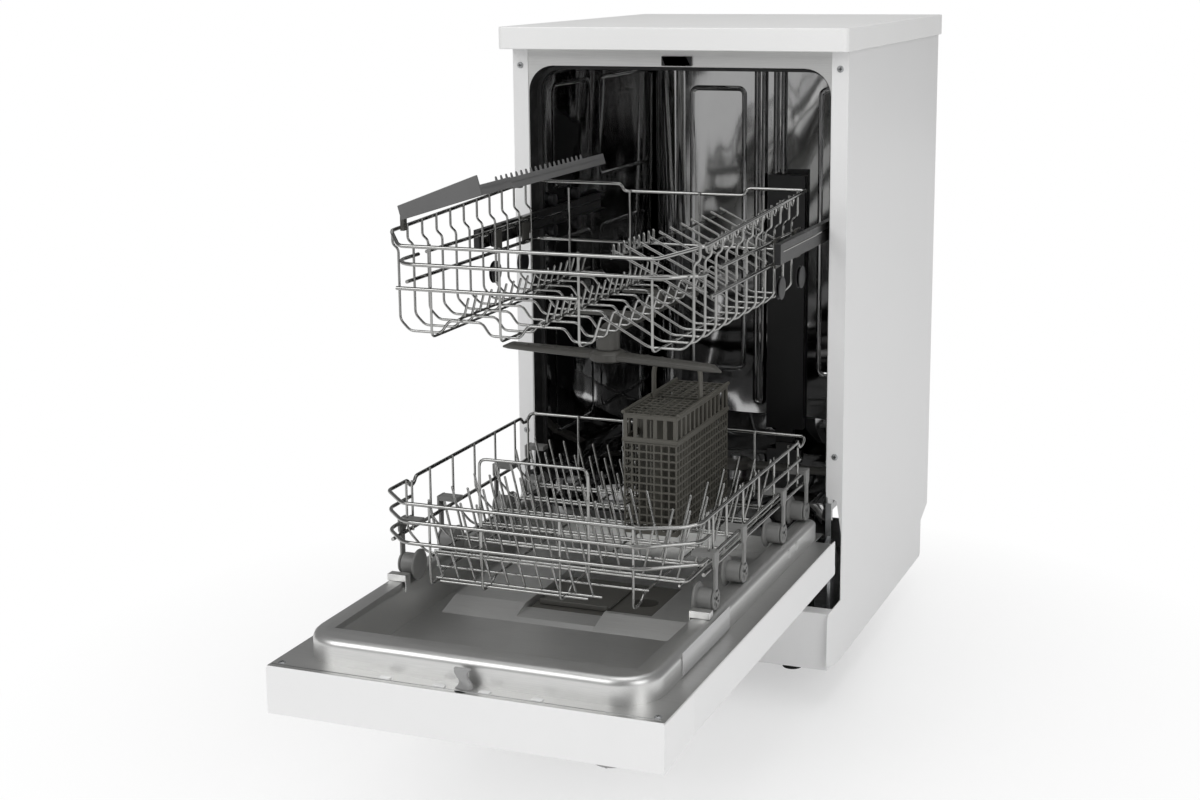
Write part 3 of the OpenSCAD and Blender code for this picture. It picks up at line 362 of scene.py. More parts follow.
# Each finish: how it is made, which colour it takes and what else it is given
MAKERS = {
    "white_enamel": (painted, "enamel"),
    "white_laminate": (laminate, "laminate"),
    "zinc_sheet": (zinc_sheet, "zinc"),
    "stainless": (brushed_steel, "steel"),
    # Painted shade: the tub's walls are the liner's steel in a darker colour.
    "tub_steel": (mirror_steel, "tub"),
    "bright_wire": (bright_wire, "wire"),
    "black_rubber": (rubber, "rubber"),
    "black_plastic": (moulded, "black", 0.35),
    "dark_grey_plastic": (moulded, "dark_grey"),
    "grey_plastic": (moulded, "grey"),
    "light_grey_plastic": (moulded, "light_grey"),
    "white_plastic": (moulded, "white", 0.4, 0.012),
    "plate_grey": (moulded, "plate", 0.4, 0.03),
    "liner_steel": (satin_steel, "liner"),
    "step_steel": (satin_steel, "liner", 0.5),
    "shelf_grey": (moulded, "shelf", 0.4),
    "carrier_grey": (moulded, "dark_grey"),
    # The tub's front plate is the same sheet as the tub's walls, shown in the liner's bright steel: the lit
    # copy of the painted-shade tub steel.
    "tub_front_steel": (satin_steel, "liner", 0.36),
    "stop_grey": (satin_steel, "liner"),
    "basket_grey": (moulded, "basket", 0.45),
    "runner_steel": (moulded, "runner", 0.3),
    "green_board": (circuit_board, "board"),
}


def finish(slot):
    """The material of one of the record's slots, or of one that stands for it."""
    if slot not in finishes:
        maker, colour, *extra = MAKERS[slot]
        finishes[slot] = maker(slot, tuple(getattr(colours(), colour)), *extra)
    return finishes[slot]


# Shapes


def span(node):
    """The box of a CAD node in cabinet millimetres, as its low and its high corner."""
    low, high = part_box(node)
    shift = Vector((0, FLANGE, 0))
    return Vector(low) * 1000 - shift, Vector(high) * 1000 - shift


def show(name, data, slot, body, *nodes):
    """Adds a mesh or curve in that finish, moving with a body, in place of the CAD nodes named."""
    data.materials.append(finish(slot))
    piece = bpy.data.objects.new(name, data)
    bpy.context.scene.collection.objects.link(piece)
    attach(piece, body)
    if nodes:
        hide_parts(*nodes)
    return piece


def even_normals(piece, angle=35):
    """Shades flat faces flat and small roundings round."""
    piece.data.set_sharp_from_angle(angle=math.radians(angle))
    modifier = piece.modifiers.new("normals", "WEIGHTED_NORMAL")
    modifier.keep_sharp = True
    modifier.weight = 100


def soften(piece, width, angle=38):
    """Rounds the sharp edges of a piece."""
    if width > 0:
        bevel = piece.modifiers.new("edges", "BEVEL")
        bevel.width = width
        bevel.segments = 2
        bevel.limit_method = "ANGLE"
        bevel.angle_limit = math.radians(angle)
        bevel.harden_normals = True
        bevel.use_clamp_overlap = True


def add(name, shape, slot, body, *nodes, edge=0, even=35):
    """Shows a shape drawn in closed parts, its edges rounded to edge m and its normals evened."""
    piece = show(name, shape.data(name, merge=False), slot, body, *nodes)
    soften(piece, edge)
    if even:
        even_normals(piece, even)


class Shape:
    """Mesh under construction, drawn in cabinet millimetres."""

    def __init__(self):
        self.mesh = bmesh.new()

    def ring(self, points):
        return [self.mesh.verts.new(at(*point)) for point in points]

    def bridge(self, first, second, closed=True):
        """Quads between two rings of the same length."""
        count = len(first)
        for i in range(count if closed else count - 1):
            j = (i + 1) % count
            self.mesh.faces.new((first[i], first[j], second[j], second[i]))

    def loft(self, rings, closed=True, capped=True):
        """A skin over rings of points, each ring with the same number of points."""
        made = [self.ring(points) for points in rings]
        for first, second in zip(made, made[1:]):
            self.bridge(first, second, closed)
        if capped and closed:
            self.mesh.faces.new(list(reversed(made[0])))
            self.mesh.faces.new(made[-1])
        return self

    def block(self, low, high):
        """A box between two corners."""
        (x0, y0, z0), (x1, y1, z1) = low, high
        base = [(x0, y0), (x1, y0), (x1, y1), (x0, y1)]
        return self.loft([[(x, y, z0) for x, y in base], [(x, y, z1) for x, y in base]])

    def turned(self, centre, profile, axis="x", steps=40, squash=1.0):
        """A body turned about an axis through centre: profile lists (place along the axis, radius)."""
        cx, cy, cz = centre
        rings = []
        for along, radius in profile:
            ring = []
            for i in range(steps):
                a = math.tau * i / steps
                u, v = radius * math.cos(a), radius * math.sin(a) * squash
                ring.append({"x": (cx + along, cy + u, cz + v), "y": (cx + u, cy + along, cz + v),
                             "z": (cx + u, cy + v, cz + along)}[axis])
            rings.append(ring)
        return self.loft(rings)

    def pierced(self, corner, across, along, us, vs, hole):
        """A sheet on the grid of distances us by vs from corner, without the cells that hole(i, j) names."""
        grid = [[self.mesh.verts.new(at(*(corner + across * u + along * v))) for v in vs] for u in us]
        for i in range(len(us) - 1):
            for j in range(len(vs) - 1):
                if not hole(i, j):
                    self.mesh.faces.new((grid[i][j], grid[i + 1][j], grid[i + 1][j + 1], grid[i][j + 1]))
        return self

    def turn(self, centre, angle, axis):
        """Turns everything drawn so far about an axis through centre, in degrees."""
        bmesh.ops.rotate(self.mesh, verts=self.mesh.verts, cent=at(*centre),
                         matrix=Matrix.Rotation(math.radians(angle), 3, axis))
        return self

    def data(self, name, merge=True):
        if merge:
            bmesh.ops.remove_doubles(self.mesh, verts=self.mesh.verts, dist=0.00001)
        bmesh.ops.recalc_face_normals(self.mesh, faces=self.mesh.faces)
        for face in self.mesh.faces:
            face.smooth = True
        data = bpy.data.meshes.new(name)
        self.mesh.to_mesh(data)
        self.mesh.free()
        return data


def from_cad(node, rounds):
    """A CAD node's own shape, with the edges that each (width, steps, test) picks rounded to width mm."""
    shape = Shape()
    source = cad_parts[node]
    shape.mesh.from_mesh(source.data)
    shape.mesh.transform(source.matrix_world)
    bmesh.ops.remove_doubles(shape.mesh, verts=shape.mesh.verts, dist=0.00001)
    bmesh.ops.dissolve_limit(
        shape.mesh, angle_limit=math.radians(1), verts=shape.mesh.verts, edges=shape.mesh.edges
    )
    for width, steps, test in rounds:
        chosen = []
        for edge in shape.mesh.edges:
            if len(edge.link_faces) == 2 and edge.calc_face_angle(0) > 0.6:
                a, b = (vert.co * 1000 - Vector((0, FLANGE, 0)) for vert in edge.verts)
                if test((a + b) / 2, (b - a).normalized()):
                    chosen.append(edge)
        bmesh.ops.bevel(shape.mesh, geom=chosen, offset=width * 0.001, segments=steps, profile=0.5,
                        affect="EDGES", clamp_overlap=True)
    return shape


def every_edge(place, along):
    return True


def mould(node, name, slot, body, *rounds):
    """Shows a CAD node's own shape, with its picked edges rounded, in place of the node."""
    piece = show(name, from_cad(node, rounds).data(name), slot, body, node)
    even_normals(piece)


def swept(points, bend, closed=False):
    """The points of a bent wire: every corner becomes an arc that starts bend mm before it."""
    points = [Vector(point) for point in points]
    path = []
    count = len(points)
    for i, corner in enumerate(points):
        if not closed and i in (0, count - 1):
            path.append(corner)
            continue
        before, after = points[i - 1] - corner, points[(i + 1) % count] - corner
        reach = min(bend, before.length * 0.48, after.length * 0.48)
        start, end = corner + before.normalized() * reach, corner + after.normalized() * reach
        for step in range(WIRE_STEPS + 1):
            t = step / WIRE_STEPS
            path.append(start * (1 - t) ** 2 + corner * (2 * t * (1 - t)) + end * t**2)
    return path


class Wires:
    """Bent wires of one thickness that become one piece."""

    def __init__(self, name, thickness):
        self.curve = bpy.data.curves.new(name, "CURVE")
        self.curve.dimensions = "3D"
        self.curve.bevel_depth = thickness / 2
        self.curve.bevel_resolution = 2
        self.curve.use_fill_caps = True
        self.tip = thickness * 500

    def bend(self, points, bend=6, closed=False, domed=False):
        """One wire through the points; domed rounds its far end."""
        path = swept(points, bend, closed)
        radii = [1.0] * len(path)
        if domed:
            end, back = path[-1], (path[-2] - path[-1]).normalized() * self.tip
            path[-1:] = [end + back, end + back * 0.4, end + back * 0.08]
            radii[-1:] = [1.0, 0.85, 0.35]
        spline = self.curve.splines.new("POLY")
        spline.points.add(len(path) - 1)
        spline.use_cyclic_u = closed
        for point, place, radius in zip(spline.points, path, radii):
            point.co = (*at(*place), 1)
            point.radius = radius
        return self

    def show(self, slot, body, *nodes):
        return show(self.curve.name, self.curve, slot, body, *nodes)


# The CAD nodes that stay, with the finish of each


KEPT = {
    "zinc_sheet": ["rear_panel", "base_tray", "hinge_brackets", "hinge_arms"],
    "tub_steel": ["tub"],
    "stainless": ["filter_plate"],
    "black_rubber": ["door_gasket"],
    "black_plastic": ["sump", "circulation_pump", "drain_pump", "rail_guides"],
    "dark_grey_plastic": ["filter_cylinder"],
    "grey_plastic": ["power_button", "start_button"],
    "white_plastic": ["inlet_valve"],
    "plate_grey": ["blank_plate"],
    "green_board": ["control_board"],
}


class DISHWASHER_OT_kept_nodes(bpy.types.Operator):
    """Gives every CAD node that stays in view its finish and softened edges"""

    bl_idname = "dishwasher.kept_nodes"
    bl_label = "Plain parts"

    def execute(self, context):
        for slot, names in KEPT.items():
            for name in names:
                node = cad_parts[name]
                node.data.materials.clear()
                node.data.materials.append(finish(slot))
                for face in node.data.polygons:
                    face.use_smooth = slot != "zinc_sheet"
                weld = node.modifiers.new("weld", "WELD")
                weld.merge_threshold = 0.00001
                soften(node, sizes().edge)
        return {"FINISHED"}


# The racks


# Radius of rails and of thin wires, and the gap between wires that cross
RAIL = 2.2
THIN = 1.6
GAP = 0.1


def lower_rows(front):
    """Where the lower rack's cross wires and rows of tines stand."""
    return [front + 75 + 60 * i for i in range(6)]


class DISHWASHER_OT_lower_rack(bpy.types.Operator):
    """Bends the lower rack's rails, cross wires, keels and front arch from wire"""

    bl_idname = "dishwasher.lower_rack"
    bl_label = "Lower rack"

    def execute(self, context):
        low, high = span("lower_rack_rails")
        wide, front, rear, top = high.x - RAIL, low.y + RAIL, high.y - RAIL, high.z - RAIL
        floor = top - 80
        rails = Wires("lower_rack_rails_bent", sizes().rail_d)
        dip = top - 8
        left = [(-wide + 38, front, top)] + [(-wide, y, z) for y, z in (
            (front + 40, top), (front + 86, top), (front + 91, dip), (front + 101, dip), (front + 107, top),
            (rear - 32, top), (rear - 26, dip), (rear - 12, dip), (rear, top))]
        right = [(wide, rear, top), (wide, rear - 12, dip), (wide, rear - 26, dip), (wide, rear - 32, top),
                 (wide, front + 82, top), (wide, front + 40, top), (wide - 14, front + 26, top - 2),
                 (wide - 54, front, top)]
        rails.bend(left + right, 7, closed=True)
        for z, left_end, right_end in ((top - 21, 92, 66), (top - 45, 92, 58)):
            rails.bend([(-wide, front + left_end, z), (-wide, front + 40, z), (-wide + 38, front, z),
                        (wide - 54, front, z), (wide, front + 40, z), (wide, front + right_end, z)], 12)
        for side in (-1, 1):
            rails.bend([(side * wide, front + 46, top - 59), (side * wide, rear, top - 59)])
        rails.bend([(wide, front + 92, top - 45), (wide, rear - 20, top - 45)])
        rails.bend([(wide, rear - 170, top - 24), (wide, rear - 20, top - 24), (wide - 8, rear, top - 24)], 6)
        rails.show("bright_wire", "lower_rack", "lower_rack_rails")

        wires = Wires("lower_rack_wires_bent", sizes().wire_d)
        inner = wide - RAIL - THIN - GAP
        for y in lower_rows(front):
            wires.bend([(-inner, y, top + 3), (-inner, y, floor + 25), (-inner + 24, y, floor),
                        (inner - 24, y, floor), (inner, y, floor + 25), (inner, y, top + 3)], 9)
        for y in (front + 89, rear - 19):
            for side in (-1, 1):
                wires.bend([(side * inner, y, top - 1), (side * inner, y, top - 60)])
        face = front + RAIL + THIN + GAP
        low_wire = floor - 2 * THIN - GAP
        for x in (-117, -54, 38, 122):
            wires.bend([(x, face, top + 3), (x, face, low_wire - 8), (x, face + 22, low_wire - 8),
                        (x, face + 32, low_wire), (x, rear - 4, low_wire), (x, rear - 4, top + 3)], 7)
        wires.bend([(-125, front + 36, floor), (128, front + 36, floor)])
        wires.bend([(-108, front + 10, floor - 8), (68, front + 10, floor - 8)])
        for x in (-150, 150):
            wires.bend([(x, front + 70, floor - 3), (x, rear - 10, floor - 3)])
        wires.show("bright_wire", "lower_rack", "lower_rack_wires")

        arch = Wires("lower_rack_arch", sizes().wire_d * 1.15)
        y = front + 39.4
        arch.bend([(-72, y, floor - 1), (-72, y, floor + 127), (57, y, floor + 127), (57, y, floor - 1)], 9)
        arch.show("bright_wire", "lower_rack")
        return {"FINISHED"}


class DISHWASHER_OT_tines(bpy.types.Operator):
    """Stands the rows of tines on the lower rack's floor"""

    bl_idname = "dishwasher.tines"
    bl_label = "Tines"

    def execute(self, context):
        rails, rails_high = span("lower_rack_rails")
        basket, basket_high = span("cutlery_basket")
        front, floor = rails.y + RAIL, rails_high.z - RAIL - 80
        base = floor + 2 * THIN + GAP
        tines = Wires("tine_rows", sizes().wire_d)

        def row(x0, x1, y, z, height, lean):
            tines.bend([(x0 - 8, y, z), (x1, y, z)])
            count = int((x1 - x0) // 20) + 1
            for i in range(count):
                x = x0 + 20 * i
                tines.bend([(x, y, z), (x + lean * 0.25, y, z + height * 0.25), (x + lean, y, z + height)],
                           domed=True)

        row(-110, 80, front + 20, floor - 8, 30, -9)
        for y in lower_rows(front):
            row(-140, basket_high.x if y < basket.y else basket.x - 6, y, base, 60, -14)
            row(basket_high.x + 12, rails_high.x - RAIL - 31, y, base, 60, 14)
        tines.show("bright_wire", "lower_rack", "lower_rack_tines")
        return {"FINISHED"}


def upper_side_z(y, front, length, level, rise):
    """Height of the upper rack's side rails, which climb to the rear."""
    return level + rise * (y - front - 20) / (length - 20)


class DISHWASHER_OT_upper_rack(bpy.types.Operator):
    """Bends the upper rack's rails, waved floor wires, keels, comb rail and scallops from wire"""

    bl_idname = "dishwasher.upper_rack"
    bl_label = "Upper rack"

    def execute(self, context):
        low, high = span("upper_rack_rails")
        wide, front, rear = high.x - RAIL, low.y + RAIL, high.y - RAIL
        side_rear = high.z - RAIL
        side_front = side_rear - 14
        front_z = side_rear - 27
        narrow = wide - 7
        rails = Wires("upper_rack_rails_bent", sizes().rail_d)
        rails.bend([(-wide, rear, side_rear), (-wide, front + 20, side_front), (-wide + 19, front, front_z),
                    (wide - 46, front, front_z), (wide, front + 20, side_front), (wide, rear, side_rear),
                    (108, rear, side_rear), (104, rear, side_rear - 9), (-54, rear, side_rear - 9),
                    (-58, rear, side_rear)], 6, closed=True)
        rails.bend([(-narrow, front + 70, front_z - 20), (-narrow, front + 26, front_z - 20),
                    (-narrow + 18, front, front_z - 20), (narrow - 35, front, front_z - 20),
                    (narrow, front + 30, front_z - 20), (narrow, front + 44, front_z - 20)], 14)
        rails.bend([(-narrow + 8, front, front_z - 47), (47, front, front_z - 47)])
        rails.bend([(-narrow, front + 40, front_z - 47), (-narrow, rear, front_z - 47),
                    (narrow, rear, front_z - 47), (narrow, front + 60, front_z - 47)], 12)
        for side in (-1, 1):
            rails.bend([(side * narrow, front + 90, front_z - 20), (side * narrow, rear, front_z - 20)])
        rails.show("bright_wire", "upper_rack", "upper_rack_rails")

        wires = Wires("upper_rack_wires_bent", sizes().wire_d)
        outer, inner = wide - RAIL - THIN - GAP, narrow - RAIL - THIN - GAP
        floor = front_z - 97
        crest = floor + 14
        beside = 2 * THIN + GAP
        comb = front_z - 2
        for i in range(11):
            y = front + 15 + 36 * i
            rim = upper_side_z(y, front, rear - front, side_front, 14) + 3
            wave = [(-outer, rim), (-outer, front_z - 1), (-inner, front_z - 6), (-inner, floor + 12),
                    (-inner + 12, floor), (-122, floor), (-112, crest), (-72, crest), (-62, floor),
                    (-27, floor), (-17, crest), (26, crest), (36, floor), (58, floor), (68, crest + 16),
                    (122, floor), (inner - 12, floor), (inner, floor + 12), (inner, front_z - 6),
                    (outer, front_z - 1), (outer, rim)]
            wires.bend([(x, y, z) for x, z in wave], 5)
            drop = comb + 8.7 - (inner + 1.5 - 75) / 2
            wires.bend([(80, y + beside, comb + 6.2), (inner + 1.5, y + beside, drop)])
        face = front + RAIL + THIN + GAP
        low_wire = floor - beside
        for x in (-128, -45, 47, 130):
            wires.bend([(x, face, front_z + 3), (x, face, low_wire), (x, rear - 4, low_wire),
                        (x, rear - 4, side_rear - 7)], 8)
        wires.bend([(85, face - THIN, comb), (85, rear - 10, comb)])
        for i in range(9):
            y = face + 6 + 15 * i
            wires.bend([(85, y, comb), (85, y, comb + 14)], domed=True)
        for x in (-98, 0):
            wires.bend([(x, front + 10, crest + beside), (x, rear - 10, crest + beside)])
            for i in range(18):
                y = front + 24 + 20 * i
                wires.bend([(x, y, crest + beside), (x + 6, y, crest + beside + 22)], domed=True)
        wires.show("bright_wire", "upper_rack", "upper_rack_wires")

        scallops = Wires("upper_rack_scallops", sizes().wire_d * 0.85)
        path = []
        for i in range(14):
            y = front + 45 + 24 * i
            z = upper_side_z(y, front, rear - front, side_front, 14)
            path += [(wide - 8, y, z - 1), (wide - 8, y + 3, z - 13), (wide - 8, y + 14, z - 13),
                     (wide - 8, y + 17, z - 1)]
        scallops.bend(path, 6)
        scallops.show("bright_wire", "upper_rack")
        return {"FINISHED"}


# Wheels and rollers

# The lower rack's wheels: radius of the flange and of the tread
FLANGE_R = 18.0
TREAD_R = 12.2
# Where the upper rack's spools stand
SPOOL_X = 181.2
SPOOL_Y = (-150, -66)
SPOOL_Z = (594, 549)


class DISHWASHER_OT_wheels(bpy.types.Operator):
    """Turns the lower rack's eight wheels, with spokes in their outer face"""

    bl_idname = "dishwasher.wheels"
    bl_label = "Wheels"

    def execute(self, context):
        for side, sign in (("left", -1), ("right", 1)):
            for i in (1, 2, 3, 4):
                node = "wheel_%s_%d" % (side, i)
                low, high = span(node)
                middle = (low + high) / 2
                inside = low.x if sign > 0 else high.x
                profile = [(0, 3.1), (0, 15.5), (0.8, 17.4), (2.1, FLANGE_R), (3.4, 17.4), (4.2, 15.2),
                           (4.6, TREAD_R), (19.4, TREAD_R), (20.4, TREAD_R - 0.6), (20.9, TREAD_R - 1.6),
                           (20.6, TREAD_R - 2.4), (13.5, TREAD_R - 2.8), (13.2, 5.6), (18.6, 5.2),
                           (19.2, 4.6), (19.2, 3.1)]
                shape = Shape()
                centre = (inside, middle.y, middle.z)
                shape.turned(centre, [(sign * along, radius) for along, radius in profile], steps=36)
                for spoke in range(6):
                    rib = Shape()
                    x0, x1 = sorted((inside + sign * 13.0, inside + sign * 18.2))
                    rib.block((x0, middle.y - 0.7, middle.z + 4.8),
                              (x1, middle.y + 0.7, middle.z + TREAD_R - 2.4))
                    rib.turn(centre, 60 * spoke, "X")
                    shape.mesh.from_mesh(rib.data("rib"))
                add(node + "_turned", shape, "grey_plastic", node, node, edge=0.0003)
        return {"FINISHED"}


class DISHWASHER_OT_carriers(bpy.types.Operator):
    """Clips the wheel carriers on the lower rack and the roller carriers and spools on the upper one"""

    bl_idname = "dishwasher.carriers"
    bl_label = "Carriers and spools"

    def execute(self, context):
        arms = Shape()
        wheel, wheel_high = span("wheel_right_1")
        high = span("wheel_carriers")[1]
        axle, face, top = (wheel.z + wheel_high.z) / 2, high.x, high.z
        shoulder, wide = axle + 34, axle + 40
        ring = [(0, 8.4), (0, 11.4), (0.8, 11.9), (2.2, 11.6), (2.5, 11), (2.5, 9), (2.2, 8.4)]
        pin = [(-20, 2.6), (0, 2.6), (0, 4.2), (2.2, 4.2), (2.5, 3.6)]
        for i in (1, 2, 3, 4):
            one, one_high = span("wheel_right_%d" % i)
            y = (one.y + one_high.y) / 2
            for sign in (-1, 1):
                skins = []
                for x, slim in ((face - 2.4, 0), (face, 0.5)):
                    stem, head = 4.5 - slim, 8.5 - slim
                    plan = ((-stem, axle), (stem, axle), (stem, shoulder), (head, wide), (head, top - slim),
                            (-head, top - slim), (-head, wide), (-stem, shoulder))
                    skins.append([(sign * x, y + v, z) for v, z in plan])
                arms.loft(skins)
                for profile, steps in ((ring, 36), (pin, 24)):
                    turned = [(sign * a, r) for a, r in profile]
                    arms.turned((sign * (face - 2.5), y, axle), turned, steps=steps)
                for spoke in range(3):
                    bar = Shape()
                    x0, x1 = sorted((sign * (face - 2.2), sign * (face - 0.3)))
                    bar.block((x0, y - 1.1, axle - 9), (x1, y + 1.1, axle + 9))
                    bar.turn((0, y, axle), 60 * spoke, "X")
                    arms.mesh.from_mesh(bar.data("bar"))
                inner = sorted((sign * (face - 26.4), sign * (face - 0.5)))
                arms.block((inner[0], y - 8, top - 6), (inner[1], y + 8, top - 0.6))
        add("wheel_arms", arms, "grey_plastic", "lower_rack", "wheel_carriers")

        mould("roller_carriers", "roller_carriers_moulded", "carrier_grey", "upper_rack",
              (1.2, 3, every_edge))
        spools = Shape()
        profile = [(0, 5), (0, 13.2), (0.5, 13.8), (1.2, 13.8), (1.7, 13.2), (1.9, 6.5), (3.6, 6.5),
                   (3.8, 13.2), (4.3, 13.8), (4.8, 13.8), (5.2, 13.2), (5.2, 5)]
        for sign in (-1, 1):
            for y in SPOOL_Y:
                for z in SPOOL_Z:
                    spools.turned((sign * SPOOL_X, y, z), [(sign * a, r) for a, r in profile], steps=32)
        add("rack_spools", spools, "black_plastic", "upper_rack")
        return {"FINISHED"}


# The cutlery basket


def levels(start, end, count, bar):
    """Distances of the edges of count openings between bars of that width."""
    pitch = (end - start - bar) / count
    places = []
    for i in range(count):
        places += [start + i * pitch, start + i * pitch + bar]
    return places + [start + count * pitch, end]


def lattice_hole(i, j):
    """Every other cell of a lattice, both ways, is open."""
    return i % 2 == 1 and j % 2 == 1


class DISHWASHER_OT_basket(bpy.types.Operator):
    """Moulds the cutlery basket: a lattice below a band of slots, with dividers inside"""

    bl_idname = "dishwasher.basket"
    bl_label = "Cutlery basket"

    def execute(self, context):
        low, high = span("cutlery_basket")
        width, length, height = high - low
        rows = [0] + levels(3, height - 33, 11, 2.2)[1:-1]
        rows += [height - 33, height - 27.5, height - 27, height - 4.5, height - 2, height]
        band, slots = len(rows) - 6, len(rows) - 4
        walls = Shape()
        plans = ((width, 7, 5, X), (length, 20, 12, Y))
        for distance, columns, openings, across in plans:
            for far in (0, 1):
                shift = Vector((0, length, 0)) if across.x else Vector((width, 0, 0))
                corner = low + shift * far
                lattice = levels(0, distance, columns, 2.0)
                walls.pierced(corner, across, Z, lattice, rows[: band + 1],
                              lattice_hole)
                walls.pierced(corner, across, Z, [0, distance], rows[band:slots + 1],
                              lambda i, j: False)
                top = levels(0, distance, openings, 4.6)
                walls.pierced(corner, across, Z, top, rows[slots:],
                              lambda i, j: i % 2 == 1 and j == 0)
        walls.pierced(low, X, Y, levels(0, width, 7, 2.0),
                      levels(0, length, 20, 2.0), lattice_hole)
        basket = show("cutlery_basket_moulded", walls.data("cutlery_basket_moulded"), "basket_grey",
                      "lower_rack", "cutlery_basket")
        wall = basket.modifiers.new("wall", "SOLIDIFY")
        wall.thickness = 0.0018
        wall.offset = -1
        soften(basket, 0.0003)

        inside = Shape()
        middle = (low.x + high.x) / 2
        inside.block((middle - 0.9, low.y + 2, low.z + 2), (middle + 0.9, high.y - 2, high.z - 6))
        for i in (1, 2, 3):
            y = low.y + 1 + i * (length - 2) / 4
            inside.block((low.x + 2, y - 0.9, low.z + 2.2), (high.x - 2, y + 0.9, high.z - 6.2))
        belt = []
        for edge in (0.05, 1.5):
            x0, x1, y0, y1 = low.x - edge, high.x + edge, low.y - edge, high.y + edge
            belt.append([(x0, y0), (x1, y0), (x1, y1), (x0, y1)])
        z0, z1 = high.z - 33, high.z - 27.5
        rings = [[(x, y, z) for x, y in belt[k]] for k, z in ((0, z0), (1, z0 + 1), (1, z1 - 1), (0, z1))]
        inside.loft(rings, capped=False)
        add("basket_dividers", inside, "basket_grey", "lower_rack", edge=0.0003, even=0)

        handle_low, handle_high = span("cutlery_handle")
        handle = Wires("basket_handle_bent", 0.0042)
        for y in (handle_low.y + 2.1, handle_high.y - 2.1):
            x0, x1, z0, z1 = handle_low.x + 2.1, handle_high.x - 2.1, handle_low.z, handle_high.z - 2.1
            handle.bend([(x0, y, z0), (x0, y, z1), (x1, y, z1), (x1, y, z0)], 14)
        for x in (x0, x1):
            for z in (z0 + 2.5, z0 + 22):
                handle.bend([(x, handle_low.y + 2.1, z), (x, handle_high.y - 2.1, z)])
        handle.show("basket_grey", "lower_rack", "cutlery_handle")

        for side in ("left", "right"):
            node = "cutlery_lid_" + side
            low, high = span(node)
            length = high.y - low.y
            gap = length / 2 - 6
            flat = low.z + 0.2
            x0, x1 = (low.x + 2.8, high.x) if side == "left" else (low.x, high.x - 2.8)
            lid = Shape()
            for y0, y1 in ((low.y, low.y + gap), (high.y - gap, high.y)):
                lid.pierced(Vector((x0, y0, flat)), X, Y,
                            levels(0, x1 - x0, 3, 2.6), levels(0, y1 - y0, 7, 2.6), lattice_hole)
            lid.turned((low.x + 1.8 if side == "left" else high.x - 1.8, low.y, low.z + 1.8),
                       [(0, 0.8), (0.4, 1.7), (length - 0.4, 1.7), (length, 0.8)], axis="y", steps=12)
            piece = show(node + "_moulded", lid.data(node + "_moulded"), "basket_grey", node, node)
            thick = piece.modifiers.new("thickness", "SOLIDIFY")
            thick.thickness = 0.0014
            thick.offset = 0
            soften(piece, 0.0004)
        return {"FINISHED"}


# The tub


def pressed_frame(shape, corner, across, along, size, width, rise, radius, normal):
    """A raised frame pressed into a wall: a rounded rectangle whose border stands rise mm off the wall."""
    long, tall = size

    def loop(inset, lift):
        points = []
        r = max(radius - inset, 1)
        for cx, cy, start in ((long - r - inset, r + inset, -90), (long - r - inset, tall - r - inset, 0),
                              (r + inset, tall - r - inset, 90), (r + inset, r + inset, 180)):
            for step in range(7):
                a = math.radians(start + 15 * step)
                place = across * (cx + r * math.cos(a)) + along * (cy + r * math.sin(a))
                points.append(corner + place + normal * lift)
        return points

    section = ((0, -0.3), (width * 0.3, rise * 0.75), (width * 0.5, rise), (width * 0.7, rise * 0.75),
               (width, -0.3))
    shape.loft([loop(inset, lift) for inset, lift in section], capped=False)


# How far behind the flanges' front the plate round the tub's mouth stands
PLATE_Y = 1.1


class DISHWASHER_OT_tub(bpy.types.Operator):
    """Adds the plate round the tub's mouth and the frames and flutes pressed into the walls"""

    bl_idname = "dishwasher.tub"
    bl_label = "Tub pressings"

    def execute(self, context):
        low, high = span("tub")
        half = 196
        back, top = high.y - 1, 790
        walls = Shape()
        up, inward = Z, Vector((0, -1, 0))
        across = X
        for x, z, size, width, rise, radius in (
            (52, 300, (96, 440), 9, 1.6, 14), (-47, 250, (22, 530), 10.5, 5.5, 10),
            (-17, 250, (22, 530), 10.5, 5.5, 10), (-150, 300, (92, 440), 9, 1.6, 14),
        ):
            pressed_frame(walls, Vector((x, back, z)), across, up, size, width, rise, radius, inward)
        for sign in (-1, 1):
            wall = Vector((sign * half, 0, 0))
            normal = Vector((-sign, 0, 0))
            for z, tall in ((625, 145), (290, 270)):
                for y, long in ((60, 140), (225, 205)):
                    pressed_frame(walls, wall + Vector((0, y, z)), Y, up, (long, tall),
                                  8, 1.1, 18, normal)
        pressed_frame(walls, Vector((-150, 80, top)), across, Y, (300, 360), 10, 1.5, 30, -up)
        plate = Shape()
        inner, outer = [], []
        half_width, top_edge, bend, foot = 201, 795, 34, low.z + 70
        for side in (-1, 1):
            corner = []
            for i in range(9):
                a = math.radians(90 - 11.25 * i)
                corner.append((half_width - bend + bend * math.cos(a), top_edge - bend + bend * math.sin(a)))
            corner.append((half_width, foot))
            edge = [(half_width + 13 if i > 3 else x, high.z - 1 if i < 5 else z)
                    for i, (x, z) in enumerate(corner)]
            for ring, points in ((inner, corner), (outer, edge)):
                ring += [(side * x, PLATE_Y, z) for x, z in points[::side]]
        plate.bridge(plate.ring(inner), plate.ring(outer), closed=False)
        # The front plate is shown in the bright liner steel and the pressings in the darker tub steel, whose
        # darkness is painted shade.
        add("tub_front", plate, "tub_front_steel", "cabinet", even=0)
        add("tub_pressings", walls, "tub_steel", "cabinet", even=0)
        return {"FINISHED"}


# Panels, door and fittings


def outer_edges(node, reach):
    """Picks the edges of a node that lie on the outside of its box."""
    low, high = span(node)

    def test(place, along):
        near = 0
        for axis in range(3):
            if min(place[axis] - low[axis], high[axis] - place[axis]) < reach:
                near += 1
        return near >= 2

    return test


# The liner's step: half its width, its ends, its height, and its height where the dispenser's lid slides
STEP_X = 152
STEP_FRONT = -386
STEP_REAR = -96
STEP_RISE = 10
STEP_UNDER_LID = 2.8


